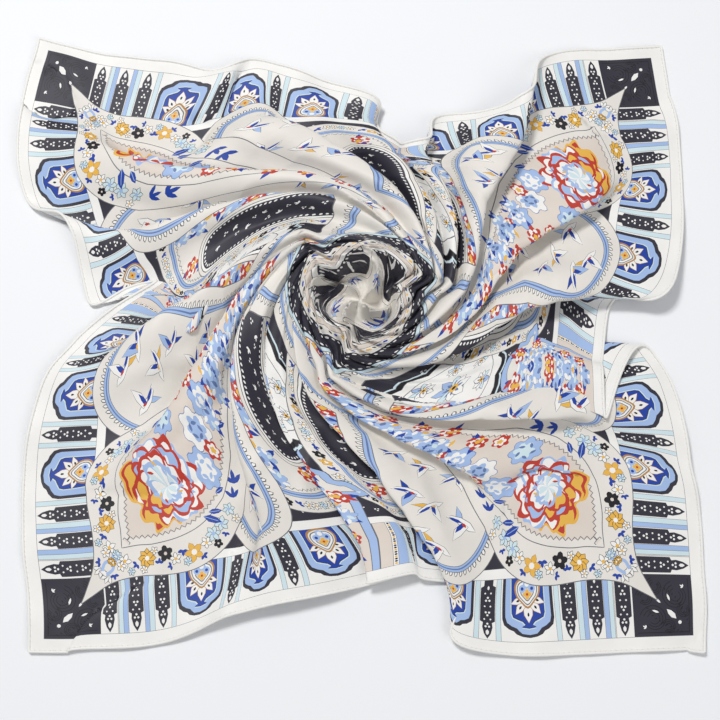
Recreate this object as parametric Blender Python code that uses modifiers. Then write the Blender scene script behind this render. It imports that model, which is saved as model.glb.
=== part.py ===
"""Silk square scarf laid on a table, its centre pinched up and wound into a spiral rosette.

A 0.90 m square of silk twill with a rolled hem.  The four corners lie flat as lobes, the
middles of the sides are drawn in and folded over themselves, and the centre is wound
clockwise into a low rosette.  Lengths in the tables are millimetres and angles are degrees,
anticlockwise from +X seen from above.  The origin is on the table under the rosette's
middle; +Z is up and the front of the scarf faces -Y.
"""
import math

import bmesh
import bpy
from mathutils import Vector

MM = 0.001

# ---- driving dimensions (mm, degrees) -------------------------------------------------
WALL = 2.0             # thickness of one laid wall of cloth
GAP = 0.3              # clearance between neighbouring pieces
HEM_RADIUS = 1.5       # rolled hem
FOOT_CHORD = 1.8       # the most that a straight foot edge stands off its curve
LAYER_STEP = 3.3       # height from one laid layer's underside to the next one's
RIM_FOOT = 66.0        # radius where the spiral folds meet the rosette's rolled rim
RIM_INNER = 42.0       # inner edge of the rolled rim
HEART_EDGE = 23.0      # radius of the crumpled heart
TWIST = 105.0          # how far the folds wind between their foot and the rim
LOBE_COLUMNS = 9       # columns of faces along each side of a lobe
LOBE_ROWS = 5          # rows of faces from a lobe's inner edge to its hem
FLAP_COLUMNS = 8
FLAP_ROWS = 3
FOLD_SECTIONS = 11     # sections along each spiral fold
HEM_SIDES_RES = 1      # bevel resolution of a hem: six sides

# Spiral folds: where each starts at its foot, its foot radius, and its crest's height
# near the rim and at the foot.
FOLDS = (
    # start, foot, crest_in, crest_out
    (2.0, 196.0, 37.0, 9.0),
    (24.0, 205.0, 40.0, 10.0),
    (45.0, 196.0, 34.0, 9.0),
    (63.0, 160.0, 38.0, 8.0),
    (88.0, 150.0, 33.0, 8.0),
    (112.0, 185.0, 39.0, 10.0),
    (134.0, 196.0, 35.0, 9.0),
    (156.0, 180.0, 40.0, 9.0),
    (180.0, 158.0, 36.0, 8.0),
    (204.0, 190.0, 41.0, 10.0),
    (226.0, 215.0, 37.0, 11.0),
    (248.0, 218.0, 42.0, 11.0),
    (268.0, 214.0, 38.0, 10.0),
    (289.0, 216.0, 43.0, 11.0),
    (312.0, 212.0, 38.0, 10.0),
    (336.0, 192.0, 42.0, 9.0),
)
# A fold's cross-section: share of the way across it and share of the crest's height.
FOLD_PROFILE = (
    # across, height
    (0.0, 0.45),
    (0.16, 0.82),
    (0.36, 1.0),
    (0.58, 0.84),
    (0.80, 0.56),
    (1.0, 0.45),
)

# Laid stretches on the table.  Each is bounded by the foot of the spiral folds between two
# angles and by its outline, given anticlockwise; "corner" is the row of its sharp corner.
LOBES = {
    "lobe_front_left": dict(
        angles=(183.0, 290.0), layer=0, outline=(
            # x, y
            (-284.5, -13.5), (-304.0, -52.0), (-323.0, -76.0), (-336.0, -119.0),
            (-344.0, -187.0), (-339.0, -268.0), (-328.0, -358.0), (-259.0, -353.0),
            (-189.0, -348.0), (-110.0, -327.0), (-59.0, -317.0), (-49.0, -311.0),
            (-40.0, -317.0), (-8.0, -300.0), (62.0, -276.0)), corner=6),
    "lobe_front_right": dict(
        angles=(291.0, 354.6), layer=0, outline=(
            (91.0, -337.0), (126.0, -347.0), (165.0, -361.0), (238.0, -359.0),
            (344.0, -355.0), (344.0, -308.0), (347.0, -187.0), (342.0, -146.0),
            (327.0, -87.0), (308.0, -53.0), (288.0, -40.0)), corner=4),
    "lobe_back_right": dict(
        angles=(355.0, 410.0), layer=0, outline=(
            (254.0, -22.0), (283.0, 17.0), (327.0, 46.0), (341.0, 73.0),
            (349.0, 114.0), (351.0, 160.0), (344.0, 250.0), (339.0, 302.0),
            (293.0, 299.0), (225.0, 295.0), (183.0, 282.0), (158.0, 252.0)), corner=7),
    "lobe_back_left": dict(
        angles=(123.4, 182.6), layer=0, outline=(
            (-168.2, 257.0), (-225.0, 277.0), (-293.0, 293.0), (-364.0, 308.0),
            (-370.0, 265.0), (-379.0, 205.0), (-377.0, 160.0), (-360.0, 123.0),
            (-340.0, 85.0), (-307.0, 55.0), (-295.0, 10.0), (-286.0, -11.5)), corner=3),
    "side_back_right": dict(
        angles=(50.6, 79.2), layer=0, outline=(
            (144.5, 222.0), (125.0, 224.0), (99.0, 220.0), (67.0, 209.0),
            (39.0, 187.0)), corner=2),
    "side_back_left": dict(
        angles=(79.8, 123.0), layer=0, outline=(
            (35.0, 187.5), (24.0, 216.0), (9.0, 231.0), (-30.0, 239.0), (-54.0, 251.0),
            (-85.0, 277.0), (-103.0, 290.0), (-151.0, 269.0), (-166.5, 258.0)), corner=6),
    "flap_left": dict(
        angles=(172.0, 211.0), layer=1, outline=(
            (-226.0, 29.0), (-210.0, 10.0), (-199.0, -19.0), (-189.0, -53.0),
            (-185.0, -74.0), (-191.0, -93.0), (-196.0, -114.0)), corner=3),
    "flap_front": dict(
        angles=(254.0, 288.0), layer=1, outline=(
            (-74.0, -262.0), (-54.0, -259.0), (-19.0, -257.0), (5.0, -255.0),
            (41.0, -252.0), (71.0, -256.0), (84.0, -262.0)), corner=3),
    "flap_right_lower": dict(
        angles=(336.0, 352.0), layer=1, outline=(
            (240.0, -108.0), (253.0, -86.0), (270.0, -54.0), (281.0, -38.0)), corner=2),
    "flap_right_upper": dict(
        angles=(338.0, 355.0), layer=2, outline=(
            (228.0, -90.0), (227.0, -65.0), (225.0, -40.0), (226.0, -20.0)), corner=1),
}

# Wound stretches of the rosette: start and end angle, the height of the top at the start
# and at the end, and how far in the outer edge moves along the stretch.
RIM_TURNS = (
    # start, end, top_start, top_end, drift
    (20.0, 138.0, 46.0, 50.0, 2.0),
    (140.0, 258.0, 50.0, 44.0, 3.0),
    (260.0, 378.0, 45.0, 48.0, 2.0),
)
INNER_TURNS = (
    (60.0, 236.0, 34.0, 41.0, 1.0),
    (239.0, 417.0, 38.0, 30.0, 1.0),
)
# A wound stretch's cross-section: share of the way out and share of the top's height.
TURN_PROFILE = (
    # across, height
    (0.0, 0.55),
    (0.18, 0.86),
    (0.42, 1.0),
    (0.68, 0.97),
    (0.88, 0.80),
    (1.0, 0.60),
)
HEART_PETALS = 5
HEART_HEIGHT = 30.0

COLOURS = {
    # material: linear red, green, blue
    "silk_cream": (0.84, 0.80, 0.73),
    "silk_charcoal": (0.035, 0.033, 0.046),
    "silk_royal_blue": (0.012, 0.05, 0.33),
    "silk_white_hem": (0.90, 0.88, 0.83),
}


# ---- scene, materials -----------------------------------------------------------------
def empty_scene():
    for old in list(bpy.data.objects):
        bpy.data.objects.remove(old, do_unlink=True)
    collection = bpy.data.collections.new("silk_square_scarf")
    bpy.context.scene.collection.children.link(collection)
    return collection


def silk(name):
    material = bpy.data.materials.new(name)
    material.use_nodes = True
    shader = material.node_tree.nodes["Principled BSDF"]
    shader.inputs["Base Color"].default_value = (*COLOURS[name], 1.0)
    shader.inputs["Roughness"].default_value = 0.5
    shader.inputs["Metallic"].default_value = 0.0
    return material


# ---- small geometry helpers -----------------------------------------------------------
def polar(radius, angle):
    a = math.radians(angle)
    return Vector((radius * math.cos(a), radius * math.sin(a), 0.0))


def mix(a, b, t):
    return a + (b - a) * t


def foot_radius(angle):
    """Radius of the spiral folds' foot at an angle, straight between the folds' rows."""
    starts = [row[0] for row in FOLDS]
    angle = starts[0] + (angle - starts[0]) % 360.0
    for index, (start, foot, _, _) in enumerate(FOLDS):
        end = starts[index + 1] if index + 1 < len(FOLDS) else starts[0] + 360.0
        if angle <= end:
            next_foot = FOLDS[(index + 1) % len(FOLDS)][1]
            return mix(foot, next_foot, (angle - start) / (end - start))
    return FOLDS[0][1]


def wind(share):
    """Turn of a fold, share 0 at the rim and 1 at the foot: tightest beside the rim."""
    return -TWIST * (1.0 - share) ** 1.8


def resample(points, count):
    """Points evenly spaced along a run of straight stretches, its two ends kept."""
    lengths = [0.0]
    for a, b in zip(points, points[1:]):
        lengths.append(lengths[-1] + (b - a).length)
    result = []
    for i in range(count + 1):
        wanted = lengths[-1] * i / count
        j = 1
        while j < len(lengths) - 1 and lengths[j] < wanted:
            j += 1
        t = (wanted - lengths[j - 1]) / (lengths[j] - lengths[j - 1])
        result.append(mix(points[j - 1], points[j], t))
    return result


def inset(points, distance):
    """The same run moved to its left, which is inwards on an anticlockwise outline."""
    sides = []
    for a, b in zip(points, points[1:]):
        along = (b - a).normalized()
        sides.append(Vector((-along.y, along.x, 0.0)))
    moved = [points[0] + sides[0] * distance]
    for before, after, point in zip(sides, sides[1:], points[1:]):
        moved.append(point + (before + after) * (distance / (1.0 + before.dot(after))))
    moved.append(points[-1] + sides[-1] * distance)
    return moved


# ---- closed bodies --------------------------------------------------------------------
def add_object(name, mesh, material, collection):
    mesh.materials.append(material)
    piece = bpy.data.objects.new(name, mesh)
    collection.objects.link(piece)
    return piece


def block_between(name, top, bottom, material, collection):
    """Closed body between two grids of points with the same rows and columns (mm)."""
    rows = len(top)
    columns = len(top[0])
    bm = bmesh.new()
    upper = [[bm.verts.new(p * MM) for p in row] for row in top]
    lower = [[bm.verts.new(p * MM) for p in row] for row in bottom]
    for i in range(rows - 1):
        for j in range(columns - 1):
            bm.faces.new((upper[i][j], upper[i][j + 1], upper[i + 1][j + 1], upper[i + 1][j]))
            bm.faces.new((lower[i][j], lower[i + 1][j], lower[i + 1][j + 1], lower[i][j + 1]))
    for i in range(rows - 1):
        for j in (0, columns - 1):
            bm.faces.new((upper[i][j], upper[i + 1][j], lower[i + 1][j], lower[i][j]))
    for j in range(columns - 1):
        for i in (0, rows - 1):
            bm.faces.new((upper[i][j], upper[i][j + 1], lower[i][j + 1], lower[i][j]))
    bmesh.ops.recalc_face_normals(bm, faces=bm.faces)
    mesh = bpy.data.meshes.new(name)
    bm.to_mesh(mesh)
    bm.free()
    mesh.shade_smooth()
    mesh.set_sharp_from_angle(angle=math.radians(50.0))
    return add_object(name, mesh, material, collection)


def open_sheet(name, grid, material, collection):
    """Open surface through a grid of points (mm), given its thickness by Solidify."""
    bm = bmesh.new()
    verts = [[bm.verts.new(p * MM) for p in row] for row in grid]
    for lower_row, upper_row in zip(verts, verts[1:]):
        for j in range(len(lower_row) - 1):
            bm.faces.new((lower_row[j], upper_row[j], upper_row[j + 1], lower_row[j + 1]))
    bmesh.ops.recalc_face_normals(bm, faces=bm.faces)
    if sum(face.normal.z for face in bm.faces) < 0.0:
        bmesh.ops.reverse_faces(bm, faces=bm.faces)
    mesh = bpy.data.meshes.new(name)
    bm.to_mesh(mesh)
    bm.free()
    piece = add_object(name, mesh, material, collection)
    wall = piece.modifiers.new("cloth wall", "SOLIDIFY")
    wall.thickness = WALL * MM
    wall.offset = 1.0
    return piece


def rolled_hem(name, points, material, collection):
    """Tube along an edge of the scarf (mm)."""
    curve = bpy.data.curves.new(name, "CURVE")
    curve.dimensions = "3D"
    curve.bevel_depth = HEM_RADIUS * MM
    curve.bevel_resolution = HEM_SIDES_RES
    curve.use_fill_caps = True
    spline = curve.splines.new("POLY")
    spline.points.add(len(points) - 1)
    for target, point in zip(spline.points, points):
        target.co = (*(point * MM), 1.0)
    return add_object(name, curve, material, collection)


# ---- pieces ---------------------------------------------------------------------------
def make_laid_stretch(name, angles, layer, outline, corner, materials, collection):
    """A flat stretch of the panel and the hem on its edge, on the table or on a layer."""
    underside = layer * LAYER_STEP
    edge = [Vector((x, y, underside)) for x, y in outline]
    is_lobe = name.startswith("lobe")
    columns = LOBE_COLUMNS if is_lobe else FLAP_COLUMNS // 2
    rows = LOBE_ROWS if is_lobe else FLAP_ROWS
    sides = (resample(edge[:corner + 1], columns), resample(edge[corner:], columns))
    outer = sides[0] + sides[1][1:]
    count = len(outer) - 1
    cloth_edge = inset(outer, 2.0 * HEM_RADIUS + GAP)
    inner = []
    for i in range(count + 1):
        angle = mix(angles[0], angles[1], i / count)
        inner.append(polar(foot_radius(angle) + GAP + FOOT_CHORD, angle) + Vector((0, 0, underside)))
    grid = [[mix(a, b, row / rows) for a, b in zip(inner, cloth_edge)] for row in range(rows + 1)]
    cloth = "silk_royal_blue" if layer == 1 else "silk_cream"
    open_sheet(name, grid, materials[cloth], collection)
    centre_line = inset(outer, HEM_RADIUS)
    lift = Vector((0.0, 0.0, HEM_RADIUS))
    rolled_hem("hem_" + name, [p + lift for p in centre_line], materials["silk_white_hem"],
               collection)


def fold_point(index, across, share):
    """Plan point of a spiral fold: share 0 at the rim and 1 at the foot."""
    start, foot, _, _ = FOLDS[index]
    next_row = FOLDS[(index + 1) % len(FOLDS)]
    end = next_row[0] + (360.0 if index + 1 == len(FOLDS) else 0.0)
    outer = mix(foot, next_row[1], across)
    radius = mix(RIM_FOOT + GAP, outer, share)
    clearance = math.degrees(0.5 * GAP / radius) * 4.0
    angle = mix(start + clearance, end - clearance, across) + wind(share)
    return polar(radius, angle)


def make_spiral_fold(index, materials, collection):
    """One fold of the wound cloth: a ridge that flattens from the rim to its foot."""
    _, _, crest_in, crest_out = FOLDS[index]
    top, bottom = [], []
    for i in range(FOLD_SECTIONS):
        share = (i / (FOLD_SECTIONS - 1)) ** 1.25
        crest = mix(crest_in, crest_out, share ** 0.7)
        top_row, bottom_row = [], []
        for across, height in FOLD_PROFILE:
            plan = fold_point(index, across, share)
            bottom_row.append(plan)
            top_row.append(plan + Vector((0.0, 0.0, crest * height)))
        top.append(top_row)
        bottom.append(bottom_row)
    colour = ("silk_cream", "silk_charcoal", "silk_cream", "silk_royal_blue")[index % 4]
    block_between("spiral_fold_%02d" % (index + 1), top, bottom, materials[colour], collection)


def make_turn(name, row, inner_radius, outer_radius, materials, collection):
    """One wound stretch of the rosette between two radii."""
    start, end, top_start, top_end, drift = row
    sections = 13
    top, bottom = [], []
    for i in range(sections):
        t = i / (sections - 1)
        angle = mix(start, end, t)
        inside = inner_radius + GAP
        outside = outer_radius - GAP - drift * t * (1.0 - t) * 4.0
        height = mix(top_start, top_end, t)
        top_row, bottom_row = [], []
        for across, share in TURN_PROFILE:
            plan = polar(mix(inside, outside, across), angle)
            bottom_row.append(plan)
            top_row.append(plan + Vector((0.0, 0.0, height * share)))
        top.append(top_row)
        bottom.append(bottom_row)
    block_between(name, top, bottom, materials["silk_cream"], collection)


def make_heart(materials, collection):
    """The pinched middle: a low crumpled mound with blunt petals."""
    bm = bmesh.new()
    bmesh.ops.create_cone(bm, cap_ends=True, segments=20, radius1=HEART_EDGE * MM,
                          radius2=HEART_EDGE * 0.45 * MM, depth=HEART_HEIGHT * MM)
    for vert in bm.verts:
        angle = math.atan2(vert.co.y, vert.co.x)
        ripple = math.cos(HEART_PETALS * angle)
        raised = vert.co.z > 0.0
        vert.co.z += HEART_HEIGHT * 0.5 * MM
        if raised:
            vert.co.z += 3.0 * ripple * MM
            vert.co.xy = vert.co.xy * (1.0 + 0.12 * ripple)
    mesh = bpy.data.meshes.new("rosette_heart")
    bm.to_mesh(mesh)
    bm.free()
    mesh.shade_smooth()
    add_object("rosette_heart", mesh, materials["silk_cream"], collection)


def build():
    collection = empty_scene()
    materials = {name: silk(name) for name in COLOURS}
    for name, row in LOBES.items():
        make_laid_stretch(name, row["angles"], row["layer"], row["outline"], row["corner"],
                          materials, collection)
    for index in range(len(FOLDS)):
        make_spiral_fold(index, materials, collection)
    for number, row in enumerate(RIM_TURNS, 1):
        make_turn("rosette_rim_%d" % number, row, RIM_INNER, RIM_FOOT, materials, collection)
    for number, row in enumerate(INNER_TURNS, 1):
        make_turn("rosette_inner_%d" % number, row, HEART_EDGE, RIM_INNER, materials,
                  collection)
    make_heart(materials, collection)


build()
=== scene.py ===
import math

import bpy
import numpy as np
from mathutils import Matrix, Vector
from mathutils.geometry import delaunay_2d_cdt


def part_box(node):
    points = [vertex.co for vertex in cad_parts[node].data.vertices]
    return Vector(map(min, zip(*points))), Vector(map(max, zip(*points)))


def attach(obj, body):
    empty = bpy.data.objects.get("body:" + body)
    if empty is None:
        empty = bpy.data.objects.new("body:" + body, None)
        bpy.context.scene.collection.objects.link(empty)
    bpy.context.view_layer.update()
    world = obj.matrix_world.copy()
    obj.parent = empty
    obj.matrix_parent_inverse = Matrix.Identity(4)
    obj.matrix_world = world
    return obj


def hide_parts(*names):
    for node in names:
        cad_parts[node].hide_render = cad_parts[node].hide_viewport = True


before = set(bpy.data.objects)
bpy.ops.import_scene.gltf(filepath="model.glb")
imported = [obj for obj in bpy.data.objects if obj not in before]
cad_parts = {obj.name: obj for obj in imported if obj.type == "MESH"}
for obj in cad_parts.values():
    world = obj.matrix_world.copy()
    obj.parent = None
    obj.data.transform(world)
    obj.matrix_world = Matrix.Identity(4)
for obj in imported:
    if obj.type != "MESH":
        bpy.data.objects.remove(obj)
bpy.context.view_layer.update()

# A printed silk square with a rolled hem, its middle pinched, lifted and wound into a rosette.
# Lengths are in millimetres up to the meshes, which are in metres.
MM = 0.001
HALF = 450.0                # half the finished square

# ======================================================================== camera and light
EYE_DISTANCE = 1200.0
EYE_TILT = 13.5             # degrees from straight above, towards the front
AIM = (0.0, -60.0, 0.0)
LENS, SENSOR = 56.85, 36.0


def place_camera():
    """The camera over the cloth, tilted back from straight above."""
    tilt = math.radians(EYE_TILT)
    camera = bpy.data.objects.new("camera", bpy.data.cameras.new("camera"))
    camera.location = (AIM[0] * MM, (AIM[1] - EYE_DISTANCE * math.sin(tilt)) * MM,
                       EYE_DISTANCE * math.cos(tilt) * MM)
    camera.rotation_euler = (tilt, 0.0, 0.0)
    camera.data.lens = LENS
    camera.data.sensor_width = SENSOR
    bpy.context.scene.collection.objects.link(camera)
    bpy.context.scene.camera = camera


LIGHTS = (
    # name, place (m), power (W), size (m)
    ("key_softbox", (-0.8, 1.0, 2.6), 52.0, 0.6),
    ("fill_softbox", (1.7, -1.7, 2.1), 20.0, 1.8),
)
SKY, SKY_STRENGTH = (0.93, 0.95, 1.0, 1.0), 0.36


def place_lights():
    """The two softboxes and the dim studio round them."""
    for name, place, power, size in LIGHTS:
        data = bpy.data.lights.new(name, "AREA")
        data.energy = power
        data.size = size
        light = bpy.data.objects.new(name, data)
        light.location = place
        light.rotation_euler = (-Vector(place)).to_track_quat("-Z", "Y").to_euler()
        bpy.context.scene.collection.objects.link(light)
    world = bpy.data.worlds.new("studio")
    world.use_nodes = True
    background = world.node_tree.nodes["Background"]
    background.inputs["Color"].default_value = SKY
    background.inputs["Strength"].default_value = SKY_STRENGTH
    bpy.context.scene.world = world
    bpy.context.scene.view_settings.view_transform = "Standard"


# ======================================================================== colours and nodes
COLOURS = {
    "white": "#F2F0EB",
    "cream": "#E7E2D9",
    "beige": "#DFD3C7",
    "aqua": "#D0E3E8",
    "light_blue": "#A3BCE3",
    "slate_blue": "#657BAA",
    "royal_blue": "#1C409E",
    "charcoal": "#2F2D38",
    "near_black": "#15131A",
    "line_grey": "#6A6A70",
    "gold": "#E8B44C",
    "bronze": "#B2834A",
    "red": "#BE3A2A",
}
COLOUR_NAMES = list(COLOURS)


def linear(hex_colour):
    """An sRGB hex colour as linear RGBA."""
    parts = [int(hex_colour[i:i + 2], 16) / 255 for i in (1, 3, 5)]
    return tuple(c / 12.92 if c <= 0.04045 else ((c + 0.055) / 1.055) ** 2.4 for c in parts) + (1.0,)


def settle(surface, values):
    """Set a surface's inputs by name."""
    for name, value in values.items():
        surface.inputs[name].default_value = value


def node(tree, kind, settings=None, **links):
    """Add a node: settings are its properties or socket values, and links go to its sockets.

    A link's name is its socket's, or _ and the socket's number where sockets share a name.
    """
    made = tree.nodes.new(kind)
    for name, value in (settings or {}).items():
        if isinstance(name, int) or name in made.inputs:
            made.inputs[name].default_value = value
        else:
            setattr(made, name, value)
    for name, source in links.items():
        key = int(name[1:]) if name[0] == "_" and name[1:].isdigit() else name.replace("_", " ")
        tree.links.new(source, made.inputs[key])
    return made


def new_material(name):
    """A material with its node tree and its surface node."""
    material = bpy.data.materials.new(name)
    material.use_nodes = True
    tree = material.node_tree
    return material, tree, tree.nodes["Principled BSDF"]


# ======================================================================== the laid cloth
# Where points of the flat cloth lie in plan: flat u, v and laid x, y. Both have their origin
# at the middle of the cloth, with v towards the back.
LAID = (
    # u, v, x, y
    (-450, -450, -328, -358), (-311, -450, -189, -348), (-229, -450, -110, -327),
    (-165, -450, -49, -312), (-100, -450, 8, -294), (-36, -450, 62, -276),
    (116, -450, 98, -280), (162, -450, 104, -310), (190, -450, 96, -337),
    (261, -450, 156, -360), (344, -450, 238, -359), (450, -450, 344, -355),
    (450, -344, 346, -248), (450, -241, 342, -146), (450, -152, 316, -61),
    (450, -113, 288, -45), (450, 81, 260, -12),
    (450, 120, 274, 8), (450, 189, 327, 46), (450, 261, 349, 114), (450, 349, 349, 202),
    (450, 450, 339, 302), (337, 450, 225, 295), (264, 450, 166, 266), (215, 450, 150, 232),
    (149, 450, 99, 220), (90, 450, 52, 194), (45, 450, 34, 178),
    (-2, 450, 22, 200), (-33, 450, 14, 224), (-60, 450, -7, 232), (-111, 450, -54, 251),
    (-152, 450, -85, 277), (-200, 450, -128, 284), (-247, 450, -168, 262),
    (-307, 450, -225, 277), (-378, 450, -293, 293), (-450, 450, -364, 308),
    (-450, 367, -377, 226), (-450, 301, -377, 160), (-450, 217, -340, 85),
    (-450, 171, -307, 55), (-450, 102, -285, -2), (-450, 55, -250, 18), (-450, 5, -216, 26),
    (-450, -45, -248, 6), (-450, -89, -284, -22), (-450, -165, -323, -76),
    (-450, -258, -344, -166), (-450, -360, -339, -268),
    # the middles of the four lobes
    (-306, 306, -244, 142), (306, 306, 223, 160), (306, -306, 195, -198),
    (-306, -306, -200, -198),
    (-408, -408, -284, -318), (408, -408, 304, -314), (408, 408, 301, 257), (-408, 408, -328, 262),
    (-205, -375, -90, -258), (205, -375, 112, -280),
)
# How the middle is wound: rings of the flat cloth, where they lie and how far they are turned.
WOUND = np.array((
    # flat radius, laid radius, turn (degrees clockwise)
    (0, 0, 235), (30, 20, 205), (60, 42, 165), (85, 58, 128), (120, 72, 97), (160, 90, 67),
    (200, 112, 43), (250, 142, 22), (300, 176, 9), (351, 214, 2.5), (400, 250, 0), (700, 520, 0),
), float)
HELD_RINGS = (60, 100, 150, 200, 250)
RING_POINTS = 16
PLATE_UNIT = 100.0          # mm
PLATE_SLACK = 0.02          # how far the plan may pass from its points
PLAN_BATCH = 20000          # points worked out at a time

# The folds, in order round the cloth.
FOLDS = np.array((
    # start (degrees), lean (degrees from upright), share of height, share left at the hem
    (-18, -78, 1.0, 1.0),       # the Z fold on the right
    (12, -50, 1.0, 0.6),
    (33, -55, 1.0, 0.5),
    (52, -45, 1.0, 0.6),
    (72, -52, 1.0, 0.6),
    (90, -55, 0.9, 0.5),
    (110, -60, 1.0, 0.4),
    (131, -50, 0.9, 0.5),
    (149, -55, 1.0, 0.5),
    (166, 70, 1.0, 0.0),        # the fold on the left
    (194, -50, 0.9, 0.2),
    (214, -60, 1.0, 0.5),
    (233, -50, 0.9, 0.5),
    (262, -78, 1.0, 1.0),       # the Z fold in front
    (287, -55, 1.0, 0.2),
    (305, -50, 0.9, 0.5),
    (323, -55, 1.0, 0.5),
), float)
FLAT_AT_CENTRE, FULL_BY = 40.0, 90.0        # flat radii over which the folds grow
LEAST_FOLD = 0.25                           # share of a fold's size left at the centre
HEM_FADE = (300.0, 430.0)                   # how far out the folds fade towards the hem
WOUND_SPREAD = (0.45, 0.85)                 # plan area left of the flat cloth: wound, and not
KEPT_AREA = 1.3                             # the plan's spread is divided by this where it is wound

# Fine pleats between the folds, where the cloth is wound.
PLEATS = 43
PLEAT_HEIGHT = np.array((
    # flat radius, height
    (0, 0), (60, 0.7), (90, 2.2), (130, 3.5), (200, 3.8), (270, 2.6), (340, 1.0), (420, 0.0),
    (700, 0.0),
), float)

RIPPLE, RIPPLES_FROM = 0.8, 385.0           # height of the waves along the hem, and where they start
RIPPLE_WAVES = (17.0, 9.3, 31.0)            # mm for each radian of the three waves that make them up

CREASE_SWAY = 7.0           # how far a crease sways aside (mm)
CREASE_ENDS = 0.35          # share of its length over which it rises

# Soft creases in the lobes, as ridges (or troughs, where the height is below zero).
CREASES = (
    # from x, y, to x, y (laid, mm), height, half-width
    (-286, 196, -118, 132, 3.4, 11), (-300, 120, -150, 84, -2.4, 9), (-206, 236, -92, 150, 2.6, 8),
    (-330, 236, -262, 150, 1.8, 14), (-262, -96, -140, -52, 3.2, 10), (-214, -176, -112, -86, -2.6, 8),
    (-150, -262, -72, -142, 3.4, 11), (-300, -220, -236, -128, 1.6, 15), (-58, -232, -34, -120, 2.8, 8),
    (214, -150, 92, -84, 3.4, 12), (146, -214, 66, -118, -2.6, 9), (96, -268, 54, -142, 2.8, 8),
    (300, -196, 222, -112, 1.8, 14), (252, 84, 124, 56, 3.2, 9), (208, 176, 112, 96, 2.6, 12),
    (300, 196, 214, 96, -1.6, 12), (150, 226, 78, 128, 3.0, 9),
)

# The pile under the cloth: layers beneath lift it. Round the rosette it is a rolled rim, which
# turns inwards in three overlapping rolls, and the heart stands in the hollow inside.
MOUND = np.array((
    # laid radius, height
    (0, 16), (10, 12), (20, 8), (32, 8), (40, 15), (46, 32), (51, 44), (57, 46.5), (63, 42), (70, 33),
    (84, 24), (102, 17.5), (130, 11.5), (165, 7.4), (200, 4.4), (250, 2.6), (700, 2.1),
), float)
RIM_ROLLS = 3
ROLL_STEP = 17.0            # how far each roll of the rim lies inside the last (mm)
ROLL_END = 0.1              # share of a roll's turn over which its end tucks under the next
ROLL_REACH = (26.0, 48.0, 72.0, 125.0)      # laid radii over which the rolls come and go
ROLL_TILT = 5.0             # how much higher a roll starts than it ends (mm)
ROLL_START = 0.05           # share of its turn over which it rises
# The heart's four folds: each is a ridge that winds outwards to a point.
FLAPS = np.array((
    # direction at the middle, direction at the tip, half-width (degrees), reach, height
    (191, 262, 34, 50, 25), (281, 352, 30, 44, 27), (11, 82, 34, 52, 24), (101, 160, 30, 36, 18),
), float)
FLAP_CREASE = 1.3           # above 1, the ridge is sharp along its crest
FLAP_RISE = 12.0            # laid radius by which it has risen
FLAP_POINT = 0.72           # share of its reach from which it falls to its point
HEART_TO = (34.0, 62.0)     # laid radii over which the heart's own shift fades
HEART_SWING, HEART_SWING_AT = 22.0, 262.0   # degrees
HEART_REACH = ((3.0, 84.0, 0.16), (1.0, 330.0, 0.10))   # waves round, direction, share of radius


def smoothstep(x):
    """0 below 0, 1 above 1, and a smooth rise between."""
    x = np.clip(x, 0.0, 1.0)
    return x * x * (3.0 - 2.0 * x)


def plate_kernel(a, b):
    """How much each known point bends the plate at each place."""
    square = ((a[:, None] - b[None]) ** 2).sum(-1)
    return 0.5 * square * np.log(square + 1e-9)


def plate_through(known, values):
    """Weights of the thin plate that passes close to the values at the known points."""
    count = len(known)
    matrix = np.zeros((count + 3, count + 3))
    matrix[:count, :count] = plate_kernel(known, known) + PLATE_SLACK * np.eye(count)
    matrix[:count, count:] = np.column_stack((np.ones(count), known))
    matrix[count:, :count] = matrix[:count, count:].T
    return np.linalg.solve(matrix, np.vstack((values, np.zeros((3, values.shape[1])))))


def make_plan():
    """The smooth plan of the laid cloth as a function of flat points."""
    table = np.array(LAID, float)
    known, laid = [table[:, :2], np.zeros((1, 2))], [table[:, 2:], np.zeros((1, 2))]
    angle = np.radians((np.arange(RING_POINTS) + 0.5) * 360.0 / RING_POINTS)
    around = np.stack((np.cos(angle), np.sin(angle)), -1)
    for ring in HELD_RINGS:
        known.append(around * ring)
        laid.append(around * np.interp(ring, WOUND[:, 0], WOUND[:, 1]))
    known = np.concatenate(known) / PLATE_UNIT
    weights = plate_through(known, np.concatenate(laid))

    def plan(flat):
        out = np.empty_like(flat)
        for start in range(0, len(flat), PLAN_BATCH):
            some = flat[start:start + PLAN_BATCH] / PLATE_UNIT
            bent = plate_kernel(some, known) @ weights[:-3]
            out[start:start + PLAN_BATCH] = bent + np.column_stack((np.ones(len(some)), some)) @ weights[-3:]
        turn = np.radians(np.interp(np.hypot(flat[:, 0], flat[:, 1]), WOUND[:, 0], WOUND[:, 2]))
        cos, sin = np.cos(turn), np.sin(turn)
        return np.stack((out[:, 0] * cos + out[:, 1] * sin, out[:, 1] * cos - out[:, 0] * sin), -1)

    return plan


def meander(samples=64, steepest=2.25, steps=46):
    """Side and height of a fold of unit length at each step of steepness, and how far it spans."""
    steep = np.linspace(0.0, steepest, steps)[:, None]
    angle = steep * np.sin(2.0 * np.pi * np.linspace(0.0, 1.0, samples + 1))[None]
    start = np.zeros((steps, 1))
    run, rise = (np.concatenate((start, np.cumsum((d[:, 1:] + d[:, :-1]) / 2.0, 1)), 1) / samples
                 for d in (np.cos(angle), np.sin(angle)))
    span = run[:, -1].copy()
    return span, run - span[:, None] * np.linspace(0.0, 1.0, samples + 1)[None], rise


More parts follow.
